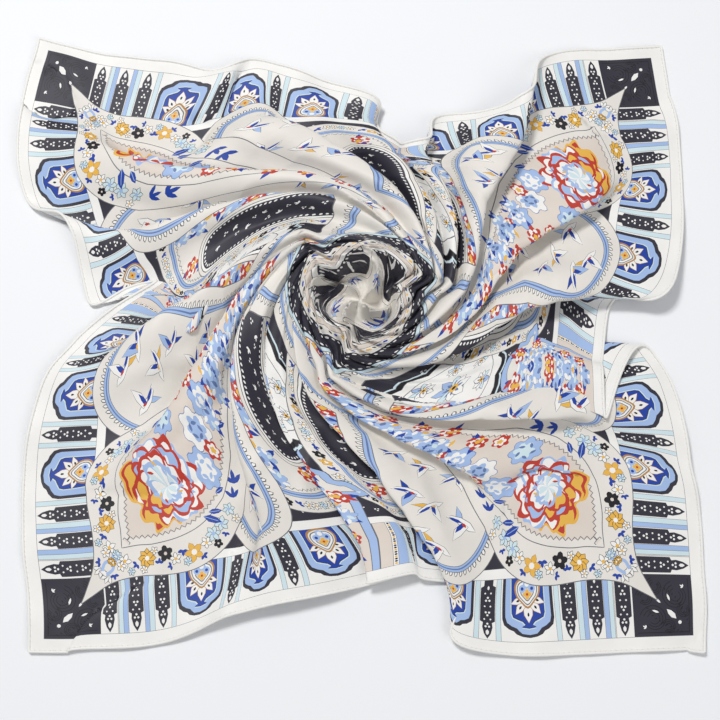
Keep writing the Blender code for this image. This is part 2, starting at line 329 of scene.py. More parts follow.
def between(table, row, column):
    """Bilinear lookup in a table."""
    r = np.clip(np.floor(row).astype(int), 0, table.shape[0] - 2)
    c = np.clip(np.floor(column).astype(int), 0, table.shape[1] - 2)
    fr, fc = row - r, column - c
    return ((table[r, c] * (1 - fc) + table[r, c + 1] * fc) * (1 - fr)
            + (table[r + 1, c] * (1 - fc) + table[r + 1, c + 1] * fc) * fr)


GRID = 257                  # points a side at which the squeeze is worked out
SQUEEZE_ROUNDS = 6          # rounds of softening it


def softened(table, rounds):
    """The table with its values blurred along both axes."""
    for _ in range(rounds):
        for axis in (0, 1):
            moved = np.moveaxis(table, axis, 0)
            inner = 0.25 * moved[:-2] + 0.5 * moved[1:-1] + 0.25 * moved[2:]
            moved = np.concatenate((moved[:1], inner, moved[-1:]))
            table = np.moveaxis(moved, 0, axis)
    return table


def make_laid():
    """The laid cloth as a function of flat points (mm), with its folds."""
    plan = make_plan()
    line = np.linspace(-HALF, HALF, GRID)
    u, v = np.meshgrid(line, line)
    grid = plan(np.stack((u, v), -1).reshape(-1, 2)).reshape(GRID, GRID, 2)
    s = np.hypot(u, v) + 1e-6
    across, along = np.gradient(grid, line, axis=1), np.gradient(grid, line, axis=0)
    ring = np.linalg.norm((-v / s)[..., None] * across + (u / s)[..., None] * along, axis=-1)
    spread = np.abs(across[..., 0] * along[..., 1] - across[..., 1] * along[..., 0])
    wound = smoothstep((WOUND_SPREAD[1] - spread) / (WOUND_SPREAD[1] - WOUND_SPREAD[0]))
    squeeze = softened(ring + (np.minimum(ring, spread / KEPT_AREA) - ring) * wound, SQUEEZE_ROUNDS)
    span, side, rise = meander()
    steps = np.arange(len(span), dtype=float)
    starts = FOLDS[:, 0]
    ends = np.append(starts[1:], starts[0] + 360.0)

    def laid(flat):
        at = (flat + HALF) / (2.0 * HALF) * (GRID - 1)
        c = np.clip(between(squeeze, at[:, 1], at[:, 0]), span.min(), 1.0)
        row = np.interp(-c, -span, steps)
        s = np.hypot(flat[:, 0], flat[:, 1]) + 1e-6
        angle = np.degrees(np.arctan2(flat[:, 1], flat[:, 0]))
        angle = (angle - starts[0]) % 360.0 + starts[0]
        k = np.clip(np.searchsorted(starts, angle, side="right") - 1, 0, len(starts) - 1)
        width = (ends - starts)[k]
        length = np.radians(width) * s
        column = (angle - starts[k]) / width * (side.shape[1] - 1)
        outward = smoothstep((np.abs(flat).max(1) - HEM_FADE[0]) / (HEM_FADE[1] - HEM_FADE[0]))
        keep = 1.0 + (FOLDS[k, 3] - 1.0) * outward
        fade = np.clip((s - FLAT_AT_CENTRE) / (FULL_BY - FLAT_AT_CENTRE), LEAST_FOLD, 1.0) * keep
        sx = between(side, row, column) * length * fade
        sz = between(rise, row, column) * length * fade
        lean = np.radians(FOLDS[k, 1])
        place = plan(flat)
        r = np.hypot(place[:, 0], place[:, 1]) + 1e-6
        sideways = np.stack((-place[:, 1] / r, place[:, 0] / r), -1)
        xy = place + sideways * (sx + np.sin(lean) * sz)[:, None]
        xy, z = pile(heart_shift(xy))
        z = z + np.cos(lean) * sz * FOLDS[k, 2]
        z = z + pleats(s, np.radians(angle)) + ripples(flat) + creases(xy)
        return np.column_stack((xy, z))

    return laid


def pleats(s, angle):
    """Fine, uneven pleats that run with the folds."""
    height = np.interp(s, PLEAT_HEIGHT[:, 0], PLEAT_HEIGHT[:, 1])
    height = height * (0.6 + 0.4 * np.sin(3.0 * angle + 1.1))
    height = height * (0.75 + 0.25 * np.sin(7.0 * angle + s / 60.0))
    wander = 0.05 * np.sin(5.0 * angle + 0.4) + 0.03 * np.sin(11.0 * angle + s / 45.0)
    wave = np.sin(PLEATS * (angle + wander))
    return height * (wave + 0.25 * wave * wave)


def creases(xy):
    """Height of the soft creases at laid points."""
    z = np.zeros(len(xy))
    for x0, y0, x1, y1, height, half in CREASES:
        way = np.array((x1 - x0, y1 - y0), float)
        length = np.linalg.norm(way)
        way /= length
        away = xy - (x0, y0)
        along = away @ way / length
        aside = (away[:, 0] * way[1] - away[:, 1] * way[0] + CREASE_SWAY * np.sin(3.0 * along)) / half
        ends = smoothstep(along / CREASE_ENDS) * smoothstep((1.0 - along) / CREASE_ENDS)
        z += height * np.exp(-aside * aside) * ends
    return z


def ripples(flat):
    """Slight waves in the cloth along the hem."""
    edge = np.abs(flat).max(1)
    along = np.abs(flat).min(1) * np.sign(flat[:, 0] * flat[:, 1])
    near = smoothstep((edge - RIPPLES_FROM) / (HALF - RIPPLES_FROM))
    long, short, slow = RIPPLE_WAVES
    wave = np.sin(along / long) + 0.8 * np.sin(along / short + 1.0) + 0.5 * np.sin(along / slow + edge / 25.0)
    return RIPPLE * near * (wave + 2.0)


def roll_shift(r, angle):
    """How far the rim's rolls draw the cloth inwards: it grows round each roll and starts again."""
    come = smoothstep((r - ROLL_REACH[0]) / (ROLL_REACH[1] - ROLL_REACH[0]))
    go = 1.0 - smoothstep((r - ROLL_REACH[2]) / (ROLL_REACH[3] - ROLL_REACH[2]))
    turn = (angle * RIM_ROLLS / 360.0 + 0.2 * np.log(r + 1.0)) % 1.0
    roll = turn - smoothstep((turn - 1.0 + ROLL_END) / ROLL_END)
    return ROLL_STEP * (roll - 0.1) * come * go, turn, come * go


def heart_shift(xy):
    """The heart drawn out more one way than another, so that its folds aren't alike."""
    r = np.hypot(xy[:, 0], xy[:, 1]) + 1e-6
    angle = np.arctan2(xy[:, 1], xy[:, 0])
    near = 1.0 - smoothstep((r - HEART_TO[0]) / (HEART_TO[1] - HEART_TO[0]))
    angle = angle + np.radians(HEART_SWING) * near * np.sin(angle - math.radians(HEART_SWING_AT))
    for waves, way, share in HEART_REACH:
        r = r * (1.0 + share * near * np.cos(waves * (angle - math.radians(way))))
    return np.stack((r * np.cos(angle), r * np.sin(angle)), -1)


def pile(xy):
    """Laid points drawn in by the rosette's rolls, and the height of the pile under them."""
    r = np.hypot(xy[:, 0], xy[:, 1]) + 1e-6
    angle = np.degrees(np.arctan2(xy[:, 1], xy[:, 0]))
    inwards, turn, near = roll_shift(r, angle)
    tilt = ROLL_TILT * near * (0.5 - turn) * smoothstep(turn / ROLL_START)
    z = np.interp(r, MOUND[:, 0], MOUND[:, 1]) + tilt
    for way, tip, half, reach, height in FLAPS:
        off = (angle - way - (tip - way) * r / reach + 180.0) % 360.0 - 180.0
        ridge = np.clip(1.0 - np.abs(off) / half, 0.0, 1.0) ** FLAP_CREASE
        point = 1.0 - smoothstep((r / reach - FLAP_POINT) / (1.0 - FLAP_POINT))
        z = z + height * ridge * smoothstep(r / FLAP_RISE) * point
    return xy * (1.0 - inwards / r)[:, None], z


# ======================================================================== drawing the print
# The print repeats in the four quarters and is mirrored in each quarter's diagonal. Its shapes
# are drawn in one quarter, as distances from the two hems, with the corner at (0, 0) and the
# middle of the cloth at (450, 450). Later shapes lie over earlier ones.
SHAPES = []
random = np.random.default_rng(7)


def ink(outline, colour, mirrored=True):
    """Print a shape, and its mirror image in the quarter's diagonal."""
    outline = np.asarray(outline, float)
    SHAPES.append((outline, colour))
    if mirrored:
        SHAPES.append((outline[::-1, ::-1], colour))


def block(x0, y0, x1, y1):
    """A rectangle by its corners."""
    return np.array(((x0, y0), (x1, y0), (x1, y1), (x0, y1)), float)


def curve(points, steps=5, closed=True):
    """A smooth curve through points."""
    p = np.asarray(points, float)
    count = len(p) if closed else len(p) - 1
    get = (lambda i: p[i % len(p)]) if closed else (lambda i: p[min(max(i, 0), len(p) - 1)])
    out = []
    for i in range(count):
        a, b, c, d = get(i - 1), get(i), get(i + 1), get(i + 2)
        for t in np.arange(steps) / steps:
            out.append(0.5 * (2 * b + (c - a) * t + (2 * a - 5 * b + 4 * c - d) * t * t
                              + (3 * b - a - 3 * c + d) * t ** 3))
    if not closed:
        out.append(p[-1])
    return np.array(out)


def sideways_of(path, closed):
    """The direction across a path at each of its points."""
    ahead = np.roll(path, -1, 0) - np.roll(path, 1, 0)
    if not closed:
        ahead[0], ahead[-1] = path[1] - path[0], path[-1] - path[-2]
    ahead /= np.linalg.norm(ahead, axis=1)[:, None] + 1e-9
    return np.stack((ahead[:, 1], -ahead[:, 0]), -1)


def grown(outline, by):
    """The outline moved outwards by a width, or inwards where it is below zero."""
    x, y = outline[:, 0], outline[:, 1]
    way = np.sign((x * np.roll(y, -1) - y * np.roll(x, -1)).sum())
    return outline + sideways_of(outline, True) * by * way


def edged(outline, fill, line="line_grey", width=0.8, mirrored=True):
    """A filled shape with a fine line round it."""
    ink(grown(outline, width), line, mirrored)
    ink(outline, fill, mirrored)


def ribbon(path, width, colour, mirrored=True):
    """A band of even width along a path."""
    path = np.asarray(path, float)
    across = sideways_of(path, False) * (width / 2.0)
    ink(np.vstack((path + across, (path - across)[::-1])), colour, mirrored)


def turned(shape, at, degrees=0.0, size=1.0):
    """The shape turned, scaled and moved to a place."""
    a = math.radians(degrees)
    c, s = math.cos(a) * size, math.sin(a) * size
    shape = np.asarray(shape, float)
    return np.column_stack((at[0] + shape[:, 0] * c - shape[:, 1] * s,
                            at[1] + shape[:, 0] * s + shape[:, 1] * c))


def away_from(at, reach, degrees):
    """The point at a distance and a direction from another."""
    a = math.radians(degrees)
    return at[0] + reach * math.cos(a), at[1] + reach * math.sin(a)


def disc(at, radius, sides=8):
    """A round spot."""
    a = np.arange(sides) * 2.0 * np.pi / sides
    return np.column_stack((at[0] + radius * np.cos(a), at[1] + radius * np.sin(a)))


def leaf(length, width):
    """A pointed leaf along +x, its stalk at the origin."""
    shape = ((0, 0), (0.32, 0.46), (0.7, 0.4), (1, 0), (0.7, -0.4), (0.32, -0.46))
    return np.array(shape) * (length, width)


def lobed(radius, lobes, depth=0.2, steps=6, start=0.0):
    """A round outline with lobes, its notches a share deep."""
    a = np.arange(lobes * steps) * 2.0 * np.pi / (lobes * steps)
    r = radius * (1.0 - depth + depth * np.abs(np.cos(a * lobes / 2.0)))
    a = a + math.radians(start)
    return np.column_stack((r * np.cos(a), r * np.sin(a)))


def along_path(path, pitch, start=0.0):
    """Places at an even pitch along a path, each with its direction in degrees."""
    path = np.asarray(path, float)
    steps = np.linalg.norm(np.diff(path, axis=0), axis=1)
    run = np.concatenate(([0.0], np.cumsum(steps)))
    for s in np.arange(start, run[-1], pitch):
        i = min(np.searchsorted(run, s, side="right") - 1, len(steps) - 1)
        t = (s - run[i]) / max(steps[i], 1e-9)
        d = path[i + 1] - path[i]
        yield path[i] + d * t, math.degrees(math.atan2(d[1], d[0]))


def wavy(path, height, pitch, width, colour, mirrored=True):
    """A wavy line along a path."""
    shifts = (0.0, 1.0, 0.0, -1.0)
    out = []
    for i, (p, d) in enumerate(along_path(path, pitch / 4.0)):
        a = math.radians(d + 90.0)
        out.append(p + height * shifts[i % 4] * np.array((math.cos(a), math.sin(a))))
    ribbon(out, width, colour, mirrored)


def trefoil(at, size, degrees=0.0, colour="white", mirrored=True):
    """Three small spots in a triangle."""
    for k in (90, 210, 330):
        ink(disc(away_from(at, size, degrees + k), size * 0.62, 5), colour, mirrored)


def sprig(at, size, degrees, colour="white", mirrored=True):
    """A drop between two leaf strokes."""
    for turn, length in ((-50, 0.8), (0, 1.1), (50, 0.8)):
        ink(turned(leaf(size * length, size * 0.42), at, degrees + turn), colour, mirrored)


def blossom(at, size, petals, petal_colour, core, degrees=0.0, line="near_black", mirrored=True):
    """A flower of separate petals round a core."""
    for k in range(petals):
        turn = degrees + 360.0 * k / petals
        petal = turned(leaf(size, size * 0.62), at, turn)
        edged(petal, petal_colour, line, 0.5, mirrored)
    ink(disc(at, size * 0.26, 7), core, mirrored)


# ---- the printed border band ----------------------------------------------------------
MARGIN = 13.5               # bare white silk inside the rolled hem
BAND_IN = 72.5              # the band's inner edge
STRIP_IN = 82.0             # the white strip inside the band
PILLARS = (73.0, 99.0, 125.0, 205.5, 285.0, 364.5)
PILLAR_WIDTH = 14.6
PANELS = (147.5, 227.0, 306.5)
PANEL_WIDTH = 51.0
STRIPES = (
    # from, to, colour
    (88.6, 89.6, "cream"), (89.6, 94.0, "aqua"), (94.0, 98.4, "light_blue"),
    (114.6, 119.0, "light_blue"), (119.0, 123.8, "aqua"),
    (141.5, 146.0, "aqua"), (200.2, 204.6, "aqua"), (221.0, 225.4, "aqua"),
    (279.8, 284.2, "aqua"), (300.6, 305.0, "aqua"), (359.2, 363.6, "aqua"), (380.2, 384.6, "aqua"),
    (386.0, 396.0, "light_blue"), (400.5, 409.0, "beige"), (409.5, 415.0, "light_blue"),
)


def pillar(x0):
    """A charcoal pillar with white drops, between two panels."""
    w = PILLAR_WIDTH
    m = x0 + w / 2.0
    body = [(-w / 2, 33), (-w * 0.3, 31.5), (-w * 0.34, 27), (-w * 0.22, 20), (0, 14.6)]
    outline = body + [(-x, y) for x, y in body[-2::-1]]
    inner = [(w / 2, 66), (w * 0.3, 67.5), (w * 0.3, BAND_IN)]
    outline += inner + [(-x, y) for x, y in inner[::-1]]
    ink([(m + x, y) for x, y in outline], "charcoal")
    ink(turned(leaf(6.0, 3.4), (m, 24.5), -90), "white")
    trefoil((m, 28.5), 1.9, 0)
    trefoil((m, 41), 1.9, 180)
    for dx, y in ((-3, 35), (3, 35), (-2.8, 48), (2.8, 48), (-2.8, 60.5), (2.8, 60.5)):
        ink(disc((m + dx, y), 0.9, 6), "white")
    trefoil((m, 54.5), 1.9, 0)
    ink(turned(leaf(4.0, 2.2), (m, 63.5), 90), "white")


SHIELD = (
    # x, y, from its middle
    (0, -15), (7, -9), (12, -3), (13.5, 5), (10, 11), (0, 13), (-10, 11), (-13.5, 5), (-12, -3), (-7, -9),
)
LOTUS_PETALS = (
    # direction, length, width
    (-90, 17, 10), (-128, 13, 8), (-52, 13, 8), (-160, 11, 6.5), (-20, 11, 6.5),
)
LOTUS_SPOTS = (
    # x, y, from the shield's middle, radius, colour
    (-5, 3, 3.6, "light_blue"), (5, 3, 3.6, "light_blue"), (0, 7, 4.2, "light_blue"),
    (0, 7, 2.4, "white"), (-5, 3, 1.6, "royal_blue"), (5, 3, 1.6, "royal_blue"),
)
SHIELD_RINGS = (
    # size, colour
    (1.0, "bronze"), (0.87, "cream"), (0.78, "line_grey"), (0.71, "white"), (0.55, "line_grey"),
    (0.48, "beige"),
)


def shield(m, y, size, colour):
    """The lotus's shield: a rounded top and a point towards the hem."""
    ink(curve(np.array(SHIELD) * size + (m, y), 3), colour)


def lotus(m, y):
    """The lotus with its shield of rings and three blue eyes."""
    base = (m, y - 4)
    for turn, length, width in LOTUS_PETALS:
        edged(turned(leaf(length + 7, width), base, turn), "white", "bronze", 0.5)
        ink(turned(leaf(4.2, 2.2), away_from(base, length + 1.5, turn), turn + 180), "near_black")
    for size, colour in SHIELD_RINGS:
        shield(m, y, size, colour)
    for dx, dy, radius, colour in LOTUS_SPOTS:
        ink(disc((m + dx, y + dy), radius, 9), colour)
    ink(turned(lobed(4.6, 4, 0.4, 4), (m, y - 2)), "gold")
    ink(disc((m, y - 2), 1.3, 6), "red")


PANEL_ARCHES = (
    # inset, colour
    (0.0, "charcoal"), (3.0, "light_blue"), (8.2, "aqua"), (9.0, "charcoal"), (9.6, "royal_blue"),
)
LOTUS_DEPTH = 60.0


def arch(m, inset):
    """The outline of a panel's arch, narrower and deeper by an inset."""
    w, d = PANEL_WIDTH / 2.0 - inset, inset
    half = [(w, BAND_IN), (w, 36 + d * 0.6), (w - 1.5, 30 + d * 0.8), (w - 6, 26 + d), (w - 10.5, 24 + d),
            (w - 13, 21 + d), (7, 18.6 + d), (0, 17.4 + d)]
    return np.array(half + [(-x, y) for x, y in half[-2::-1]]) + (m, 0)


def panel(x0):
    """An arched royal-blue panel with a lotus at its inner end."""
    m = x0 + PANEL_WIDTH / 2.0
    for inset, colour in PANEL_ARCHES:
        ink(arch(m, inset), colour)
    lotus(m, LOTUS_DEPTH)


CLOUD_STROKES = (
    # share of the head's radius, colour
    (0.4, "white"), (0.48, "white"), (0.36, "slate_blue"), (0.5, "white"), (0.2, "aqua"),
)
CLOUD_TURN = 73             # degrees from one stroke to the next


def cloud_head(at, size, degrees, mirrored=True):
    """A loose light-blue flower head, brushed with white and slate strokes."""
    edged(turned(lobed(size, 7, 0.34, 4), at, degrees), "light_blue", "slate_blue", 0.35, mirrored)
    for k, (reach, colour) in enumerate(CLOUD_STROKES):
        way = degrees + CLOUD_TURN * k
        place = away_from(at, reach * size, way)
        ink(turned(leaf(size * 0.74, size * 0.4), place, way + 70), colour, mirrored)


def red_rose(at, size, degrees, mirrored=True):
    """A red and white rose with a gold heart."""
    ink(turned(lobed(size, 6, 0.32, 4), at, degrees), "red", mirrored)
    beside, above = (at[0] + 0.1 * size, at[1]), (at[0], at[1] + 0.08 * size)
    ink(turned(lobed(size * 0.72, 5, 0.36, 4), beside, degrees + 30), "white", mirrored)
    ink(turned(lobed(size * 0.5, 5, 0.36, 4), at, degrees + 75), "red", mirrored)
    ink(turned(lobed(size * 0.3, 4, 0.4, 3), above, degrees), "gold", mirrored)
    ink(turned(leaf(size * 0.9, size * 0.4), at, degrees + 200), "gold", mirrored)


def heap(places, size, mirrored=True):
    """Flowers heaped close together: blue heads, leaves between them and red roses on top."""
    seeds = np.random.default_rng(len(places) * 31 + int(size * 10))
    spots = [(np.array(p) + seeds.uniform(-0.25, 0.25, 2) * size, seeds.uniform(0, 360)) for p in places]
    for p, way in spots:
        for k in (0, 150):
            ink(turned(leaf(size * 1.25, size * 0.46), p, way + k), "royal_blue", mirrored)
    for k, (p, way) in enumerate(spots):
        if k % 3 != 1:
            cloud_head(p, size * seeds.uniform(0.7, 0.95), way, mirrored)
    for k, (p, way) in enumerate(spots):
        if k % 3 == 1:
            red_rose(p, size * seeds.uniform(0.7, 0.9), way, mirrored)
        place = p + seeds.uniform(-0.7, 0.7, 2) * size
        colour = ("royal_blue", "red", "gold")[k % 3]
        ink(turned(leaf(size * 0.7, size * 0.3), place, way + 50), colour, mirrored)


PAST_MIDDLE = 460.0         # shapes that cross the middle of the cloth run on to here
FINE_LINE, STRIPE_LINE = 0.4, 0.35          # widths of the lines along the band and its stripes
BEADS_AT, BEAD_PITCH = 398.2, 2.9           # the row of beads between two stripes


def mitred(outer, inner):
    """A strip along the hem, between two distances from it, mitred at the corner."""
    return (outer, outer), (PAST_MIDDLE, outer), (PAST_MIDDLE, inner), (inner, inner)


def border_band():
    """The band along the hems: lines, stripes, pillars, panels and the corner."""
    ink(block(0, 0, PAST_MIDDLE, PAST_MIDDLE), "charcoal", False)
    ink(block(-5, -5, PAST_MIDDLE, STRIP_IN), "white")
    ink(mitred(MARGIN - FINE_LINE, BAND_IN + FINE_LINE), "line_grey")
    ink(mitred(MARGIN, BAND_IN), "white")
    ink(mitred(STRIP_IN - FINE_LINE, STRIP_IN), "line_grey")
    for x0, x1, colour in STRIPES:
        ink(block(x0 - STRIPE_LINE, MARGIN, x1 + STRIPE_LINE, BAND_IN), "line_grey")
        ink(block(x0, MARGIN, x1, BAND_IN), colour)
    for x0 in PILLARS:
        pillar(x0)
    for x0 in PANELS:
        panel(x0)
    bead_line = [(BEADS_AT, MARGIN + 2), (BEADS_AT, BAND_IN)]
    for i, (p, _) in enumerate(along_path(bead_line, BEAD_PITCH)):
        ink(disc(p, 1.25, 6), "near_black" if i % 3 else "gold")
    corner_square()


CORNER_COILS = (
    # centre x, y, radius: coils of a tone-on-tone paisley
    (52.0, 30.0, 14.0), (38.0, 22.0, 8.0), (60.0, 50.0, 9.0),
)
CORNER_LINE = 0.7
CORNER_SIDE = 71.5


def corner_square():
    """Charcoal corner with tone-on-tone paisley lines, a white petal and drops on the diagonal."""
    ink(block(MARGIN, MARGIN, CORNER_SIDE, CORNER_SIDE), "charcoal", False)
    t = np.linspace(0.3, 5.6, 16)
    for x, y, radius in CORNER_COILS:
        for k in range(3):
            r = radius * (1.0 - 0.26 * k) * (1.0 - 0.06 * t)
            ribbon(np.column_stack((x + r * np.cos(t), y + r * np.sin(t))), CORNER_LINE, "near_black")
    stem = curve([(18, 24), (26, 40), (34, 52), (50, 62)], 4, False)
    for p, d in along_path(stem, 4.0):
        ink(turned(leaf(3.2, 1.2), p, d + 60), "near_black")
    ribbon([(17, 17), (68, 17)], CORNER_LINE, "near_black")
    ink(turned(leaf(13, 5.4), (30, 30), 45), "white", False)
    ink(disc((26.5, 26.5), 1.8, 8), "white", False)
    for x, y, turn, length in ((45, 45, 45, 6), (47, 36, 20, 7), (36, 47, 70, 7)):
        ink(turned(leaf(length, 2.2), (x, y), turn), "white", False)
    for p in ((60, 22), (22, 60)):
        sprig(p, 3.4, 30, mirrored=False)


# ---- the inner field -------------------------------------------------------------------
def diamond_curve(table, steps=5):
    """A leaf shape on the diagonal: distance along it and half-width at each row."""
    t = np.array(table, float)
    one = np.column_stack((t[:, 0] + t[:, 1], t[:, 0] - t[:, 1])) / math.sqrt(2.0)
    upper = curve(one, steps, closed=False)
    return np.vstack((upper, upper[-2:0:-1, ::-1]))


OUTER_ALMOND = (
    # distance along the diagonal, half-width
    (68, 0), (80, 3.5), (103, 12), (125, 30), (148, 57), (170, 74), (199, 81), (226, 78), (262, 70),
    (307, 57), (360, 40), (430, 20), (500, 0),
)
INNER_ALMOND = (
    (134, 0), (146, 11), (158, 24), (180, 40), (206, 49), (244, 48), (280, 42), (340, 27), (400, 13),
    (455, 0),
)
ALMOND_FLOWERS = (
    # x, y, size, kind
    (72, 78, 8, "lily"), (84, 71, 5, "bud"), (96, 82, 7, "white"), (108, 78, 5, "bud"),
    (119, 82, 9, "daisy"),
    (131, 76, 5, "bud"), (138, 84, 8, "dark"), (148, 78, 6, "white"), (156, 85, 6, "bud"),
    (167, 82, 10, "gold"),
    (180, 90, 6, "white"), (188, 98, 8, "pale"), (198, 108, 8, "pale"), (208, 122, 7, "pale"),
    (217, 133, 9, "leaf"),
    (223, 147, 11, "leaf"), (78, 92, 5, "white"), (90, 88, 4, "pale"), (127, 88, 4, "white"),
    (115, 72, 4, "white"),
    (143, 72, 4.5, "bud"), (160, 74, 4.5, "pale"), (176, 78, 5, "bud"), (192, 88, 5, "dark"),
    (201, 98, 4.5, "bud"),
    (214, 112, 5, "white"), (84, 82, 3.5, "daisy"), (102, 72, 4, "pale"),
)


def almond_flower(x, y, size, kind):
    """One flower of the almond's border, turned at random."""
    turn = float(random.uniform(0, 360))
    if kind == "bud":
        for k in (0, 70, 140):
            ink(turned(leaf(size, size * 0.6), (x, y), turn + k), "royal_blue")
    elif kind == "lily":
        for k in (-30, 10, 50, 95):
            edged(turned(leaf(size * 1.1, size * 0.45), (x, y), 200 + k), "white", "near_black", 0.5)
        stalk = curve([(x + 4, y - 6), (x + 11, y - 2), (x + 13, y + 5), (x + 20, y + 8)], 4, False)
        ribbon(stalk, 3.0, "light_blue")
    elif kind == "daisy":
        blossom((x, y), size, 8, "gold", "white", turn)
    elif kind == "dark":
        ink(turned(lobed(size, 5, 0.35, 4), (x, y), turn), "near_black")
        ink(disc((x, y), size * 0.22, 6), "beige")
    elif kind == "gold":
        blossom((x, y), size, 5, "gold", "bronze", turn, "bronze")
        ink(disc((x, y), size * 0.3, 7), "white")
    elif kind == "white":
        blossom((x, y), size, 5, "white", "gold", turn)
    elif kind == "pale":
        blossom((x, y), size, 6, "aqua", "light_blue", turn)
    elif kind == "leaf":
        for k in (-20, 20, 75):
            ink(turned(leaf(size * 1.35, size * 0.5), (x, y), 60 + k), "royal_blue")


def petal(at, degrees, length, width, colour, seed):
    """A broad, uneven petal that opens away from its foot."""
    wave = np.random.default_rng(seed).uniform(-0.08, 0.08, 5)
    fan = ((0, 0), (0.3, 0.42), (0.68 + wave[0], 0.58), (0.95 + wave[1], 0.34), (0.88 + wave[2], 0.08),
           (1.0 + wave[3], -0.24), (0.78 + wave[4], -0.55), (0.32, -0.4))
    ink(turned(curve(np.array(fan) * (length, width), 3), at, degrees), colour, False)


PEONY_RINGS = (
    # share of radius, petals, start, rim, fill, inner fill
    (1.00, 11, 10.0, "red", "white", "light_blue"),
    (0.80, 10, 24.0, "red", "light_blue", "white"),
    (0.60, 8, 5.0, "red", "white", "light_blue"),
    (0.40, 6, 40.0, "light_blue", "white", "aqua"),
)
PEONY_SEED = 11
CORNER_WAY = 225.0          # direction of the cloth's corner


def peony(at, radius):
    """A full peony, gold outside towards the corner, with red edges and a white and blue cup."""
    seed = PEONY_SEED
    for share, count, start, rim, fill, inner in PEONY_RINGS:
        for k in range(count):
            seed += 1
            turn = start + 360.0 * k / count
            towards_corner = math.cos(math.radians(turn - CORNER_WAY))
            golden = towards_corner > 0.25 and share > 0.5
            length = radius * share * (1.0 + 0.08 * math.sin(2.7 * seed))
            width = 6.4 * length / count * (1.05 if share > 0.7 else 0.95)
            outermost = share == 1.0
            if outermost and golden:
                petal(at, turn, length * 1.07, width * 1.1, "gold", seed)
            if outermost and not golden:
                rim = "light_blue" if k % 2 else "red"
            petal(at, turn, length, width, rim, seed)
            petal(at, turn, length - 3.4, width * 0.8, "gold" if golden and k % 2 else fill, seed + 50)
            petal(at, turn + 6, length * 0.72, width * 0.4, "gold" if golden else inner, seed + 90)
    for k in range(9):
        place = away_from(at, radius * (0.2 if k % 2 else 0.3), 40.0 * k + 12.0)
        colour = ("red", "light_blue", "gold")[k % 3]
        ink(turned(leaf(radius * 0.16, radius * 0.06), place, 40.0 * k + 60), colour, False)


CLOUD_HEADS = (
    # x, y, radius, colour, inner
    (196, 160, 17, "light_blue", "white"), (163, 199, 16, "light_blue", "aqua"),
    (204, 190, 17, "white", "light_blue"),
    (222, 214, 15, "light_blue", "white"), (247, 240, 13, "white", "light_blue"),
    (268, 262, 10, "light_blue", "white"),
)
ALMOND_ROSES = (
    # x, y, radius
    (214, 176, 9), (186, 222, 9), (238, 226, 8),
)
ALMOND_LEAVES = (
    # x, y, direction, length
    (180, 116, -20, 20), (186, 120, 5, 15), (112, 178, 100, 19), (120, 184, 75, 14), (196, 140, 20, 13),
    (228, 196, 15, 16), (204, 232, 60, 15),
)
TAIL_FLOWERS = (
    # x, y
    (226, 200), (206, 228), (238, 236), (252, 226), (232, 256), (258, 258), (274, 250), (254, 276),
    (280, 276),
    (294, 284), (282, 296), (302, 302), (314, 310), (322, 322),
)


def almond_heads():
    """Loose blue and white heads and roses in the almond; their x and y serve as their turns too."""
    for x, y, r, colour, inside in CLOUD_HEADS:
        edged(turned(lobed(r, 7, 0.3, 5), (x, y), x), colour, "slate_blue", 0.6, False)
        ink(turned(lobed(r * 0.66, 6, 0.35, 4), (x + 1.5, y + 1.0), y), inside, False)
        stroke = "light_blue" if inside == "white" else "slate_blue"
        for k in range(5):
            place = away_from((x, y), 0.35 * r, 72 * k + x)
            ink(turned(leaf(r * 0.42, r * 0.2), place, 72 * k + 90), stroke, False)
    for x, y, r in ALMOND_ROSES:
        ink(turned(lobed(r, 6, 0.35, 5), (x, y), y), "red", False)
        ink(turned(lobed(r * 0.68, 5, 0.35, 4), (x + 1, y), x), "white", False)
        ink(turned(lobed(r * 0.36, 5, 0.35, 4), (x + 1, y), x), "gold", False)


def almond():
    """The corner's leaf-shaped field: a flower border round a peony."""
    edged(diamond_curve(OUTER_ALMOND), "cream", "line_grey", 0.8, False)
    for row in ALMOND_FLOWERS:
        almond_flower(*row)
    inner = diamond_curve(INNER_ALMOND)
    ink(grown(inner, 0.8), "line_grey", False)
    ink(inner, "cream", False)
    ink(grown(inner, -6.5), "beige", False)
    wave = grown(inner, -7.0)
    half = len(wave) // 2 + 1
    wavy(wave[1:half - 8], 1.5, 6.0, 0.8, "line_grey")
    almond_heads()
    for x, y, turn, length in ALMOND_LEAVES:
        ink(turned(leaf(length, length * 0.4), (x, y), turn), "royal_blue", False)
        ribbon([(x, y), away_from((x, y), 0.8 * length, turn)], 0.6, "light_blue", False)
    heap(TAIL_FLOWERS, 12.5, False)
    peony((147, 147), 39.0)


# A bird of unit size, flying along +x.
RAISED_WING = np.array(((0, 0), (-0.1, 0.45), (0.12, 1.0), (0.3, 0.5), (0.34, 0.04)))
LOWERED_WING = np.array(((0.05, 0), (-0.3, -0.3), (-0.72, -0.5), (-0.35, -0.02), (-0.1, 0.12)))
BIRD_BODY = np.array((
    (0.75, 0.06), (0.5, 0.16), (0.1, 0.15), (-0.3, 0.06), (-0.8, 0.16), (-0.62, -0.04), (-0.2, -0.16),
    (0.3, -0.14), (0.56, -0.02),
))
WING_COLOURS = (
    # lowered, raised
    ("gold", "white"), ("royal_blue", "light_blue"), ("light_blue", "white"),
)


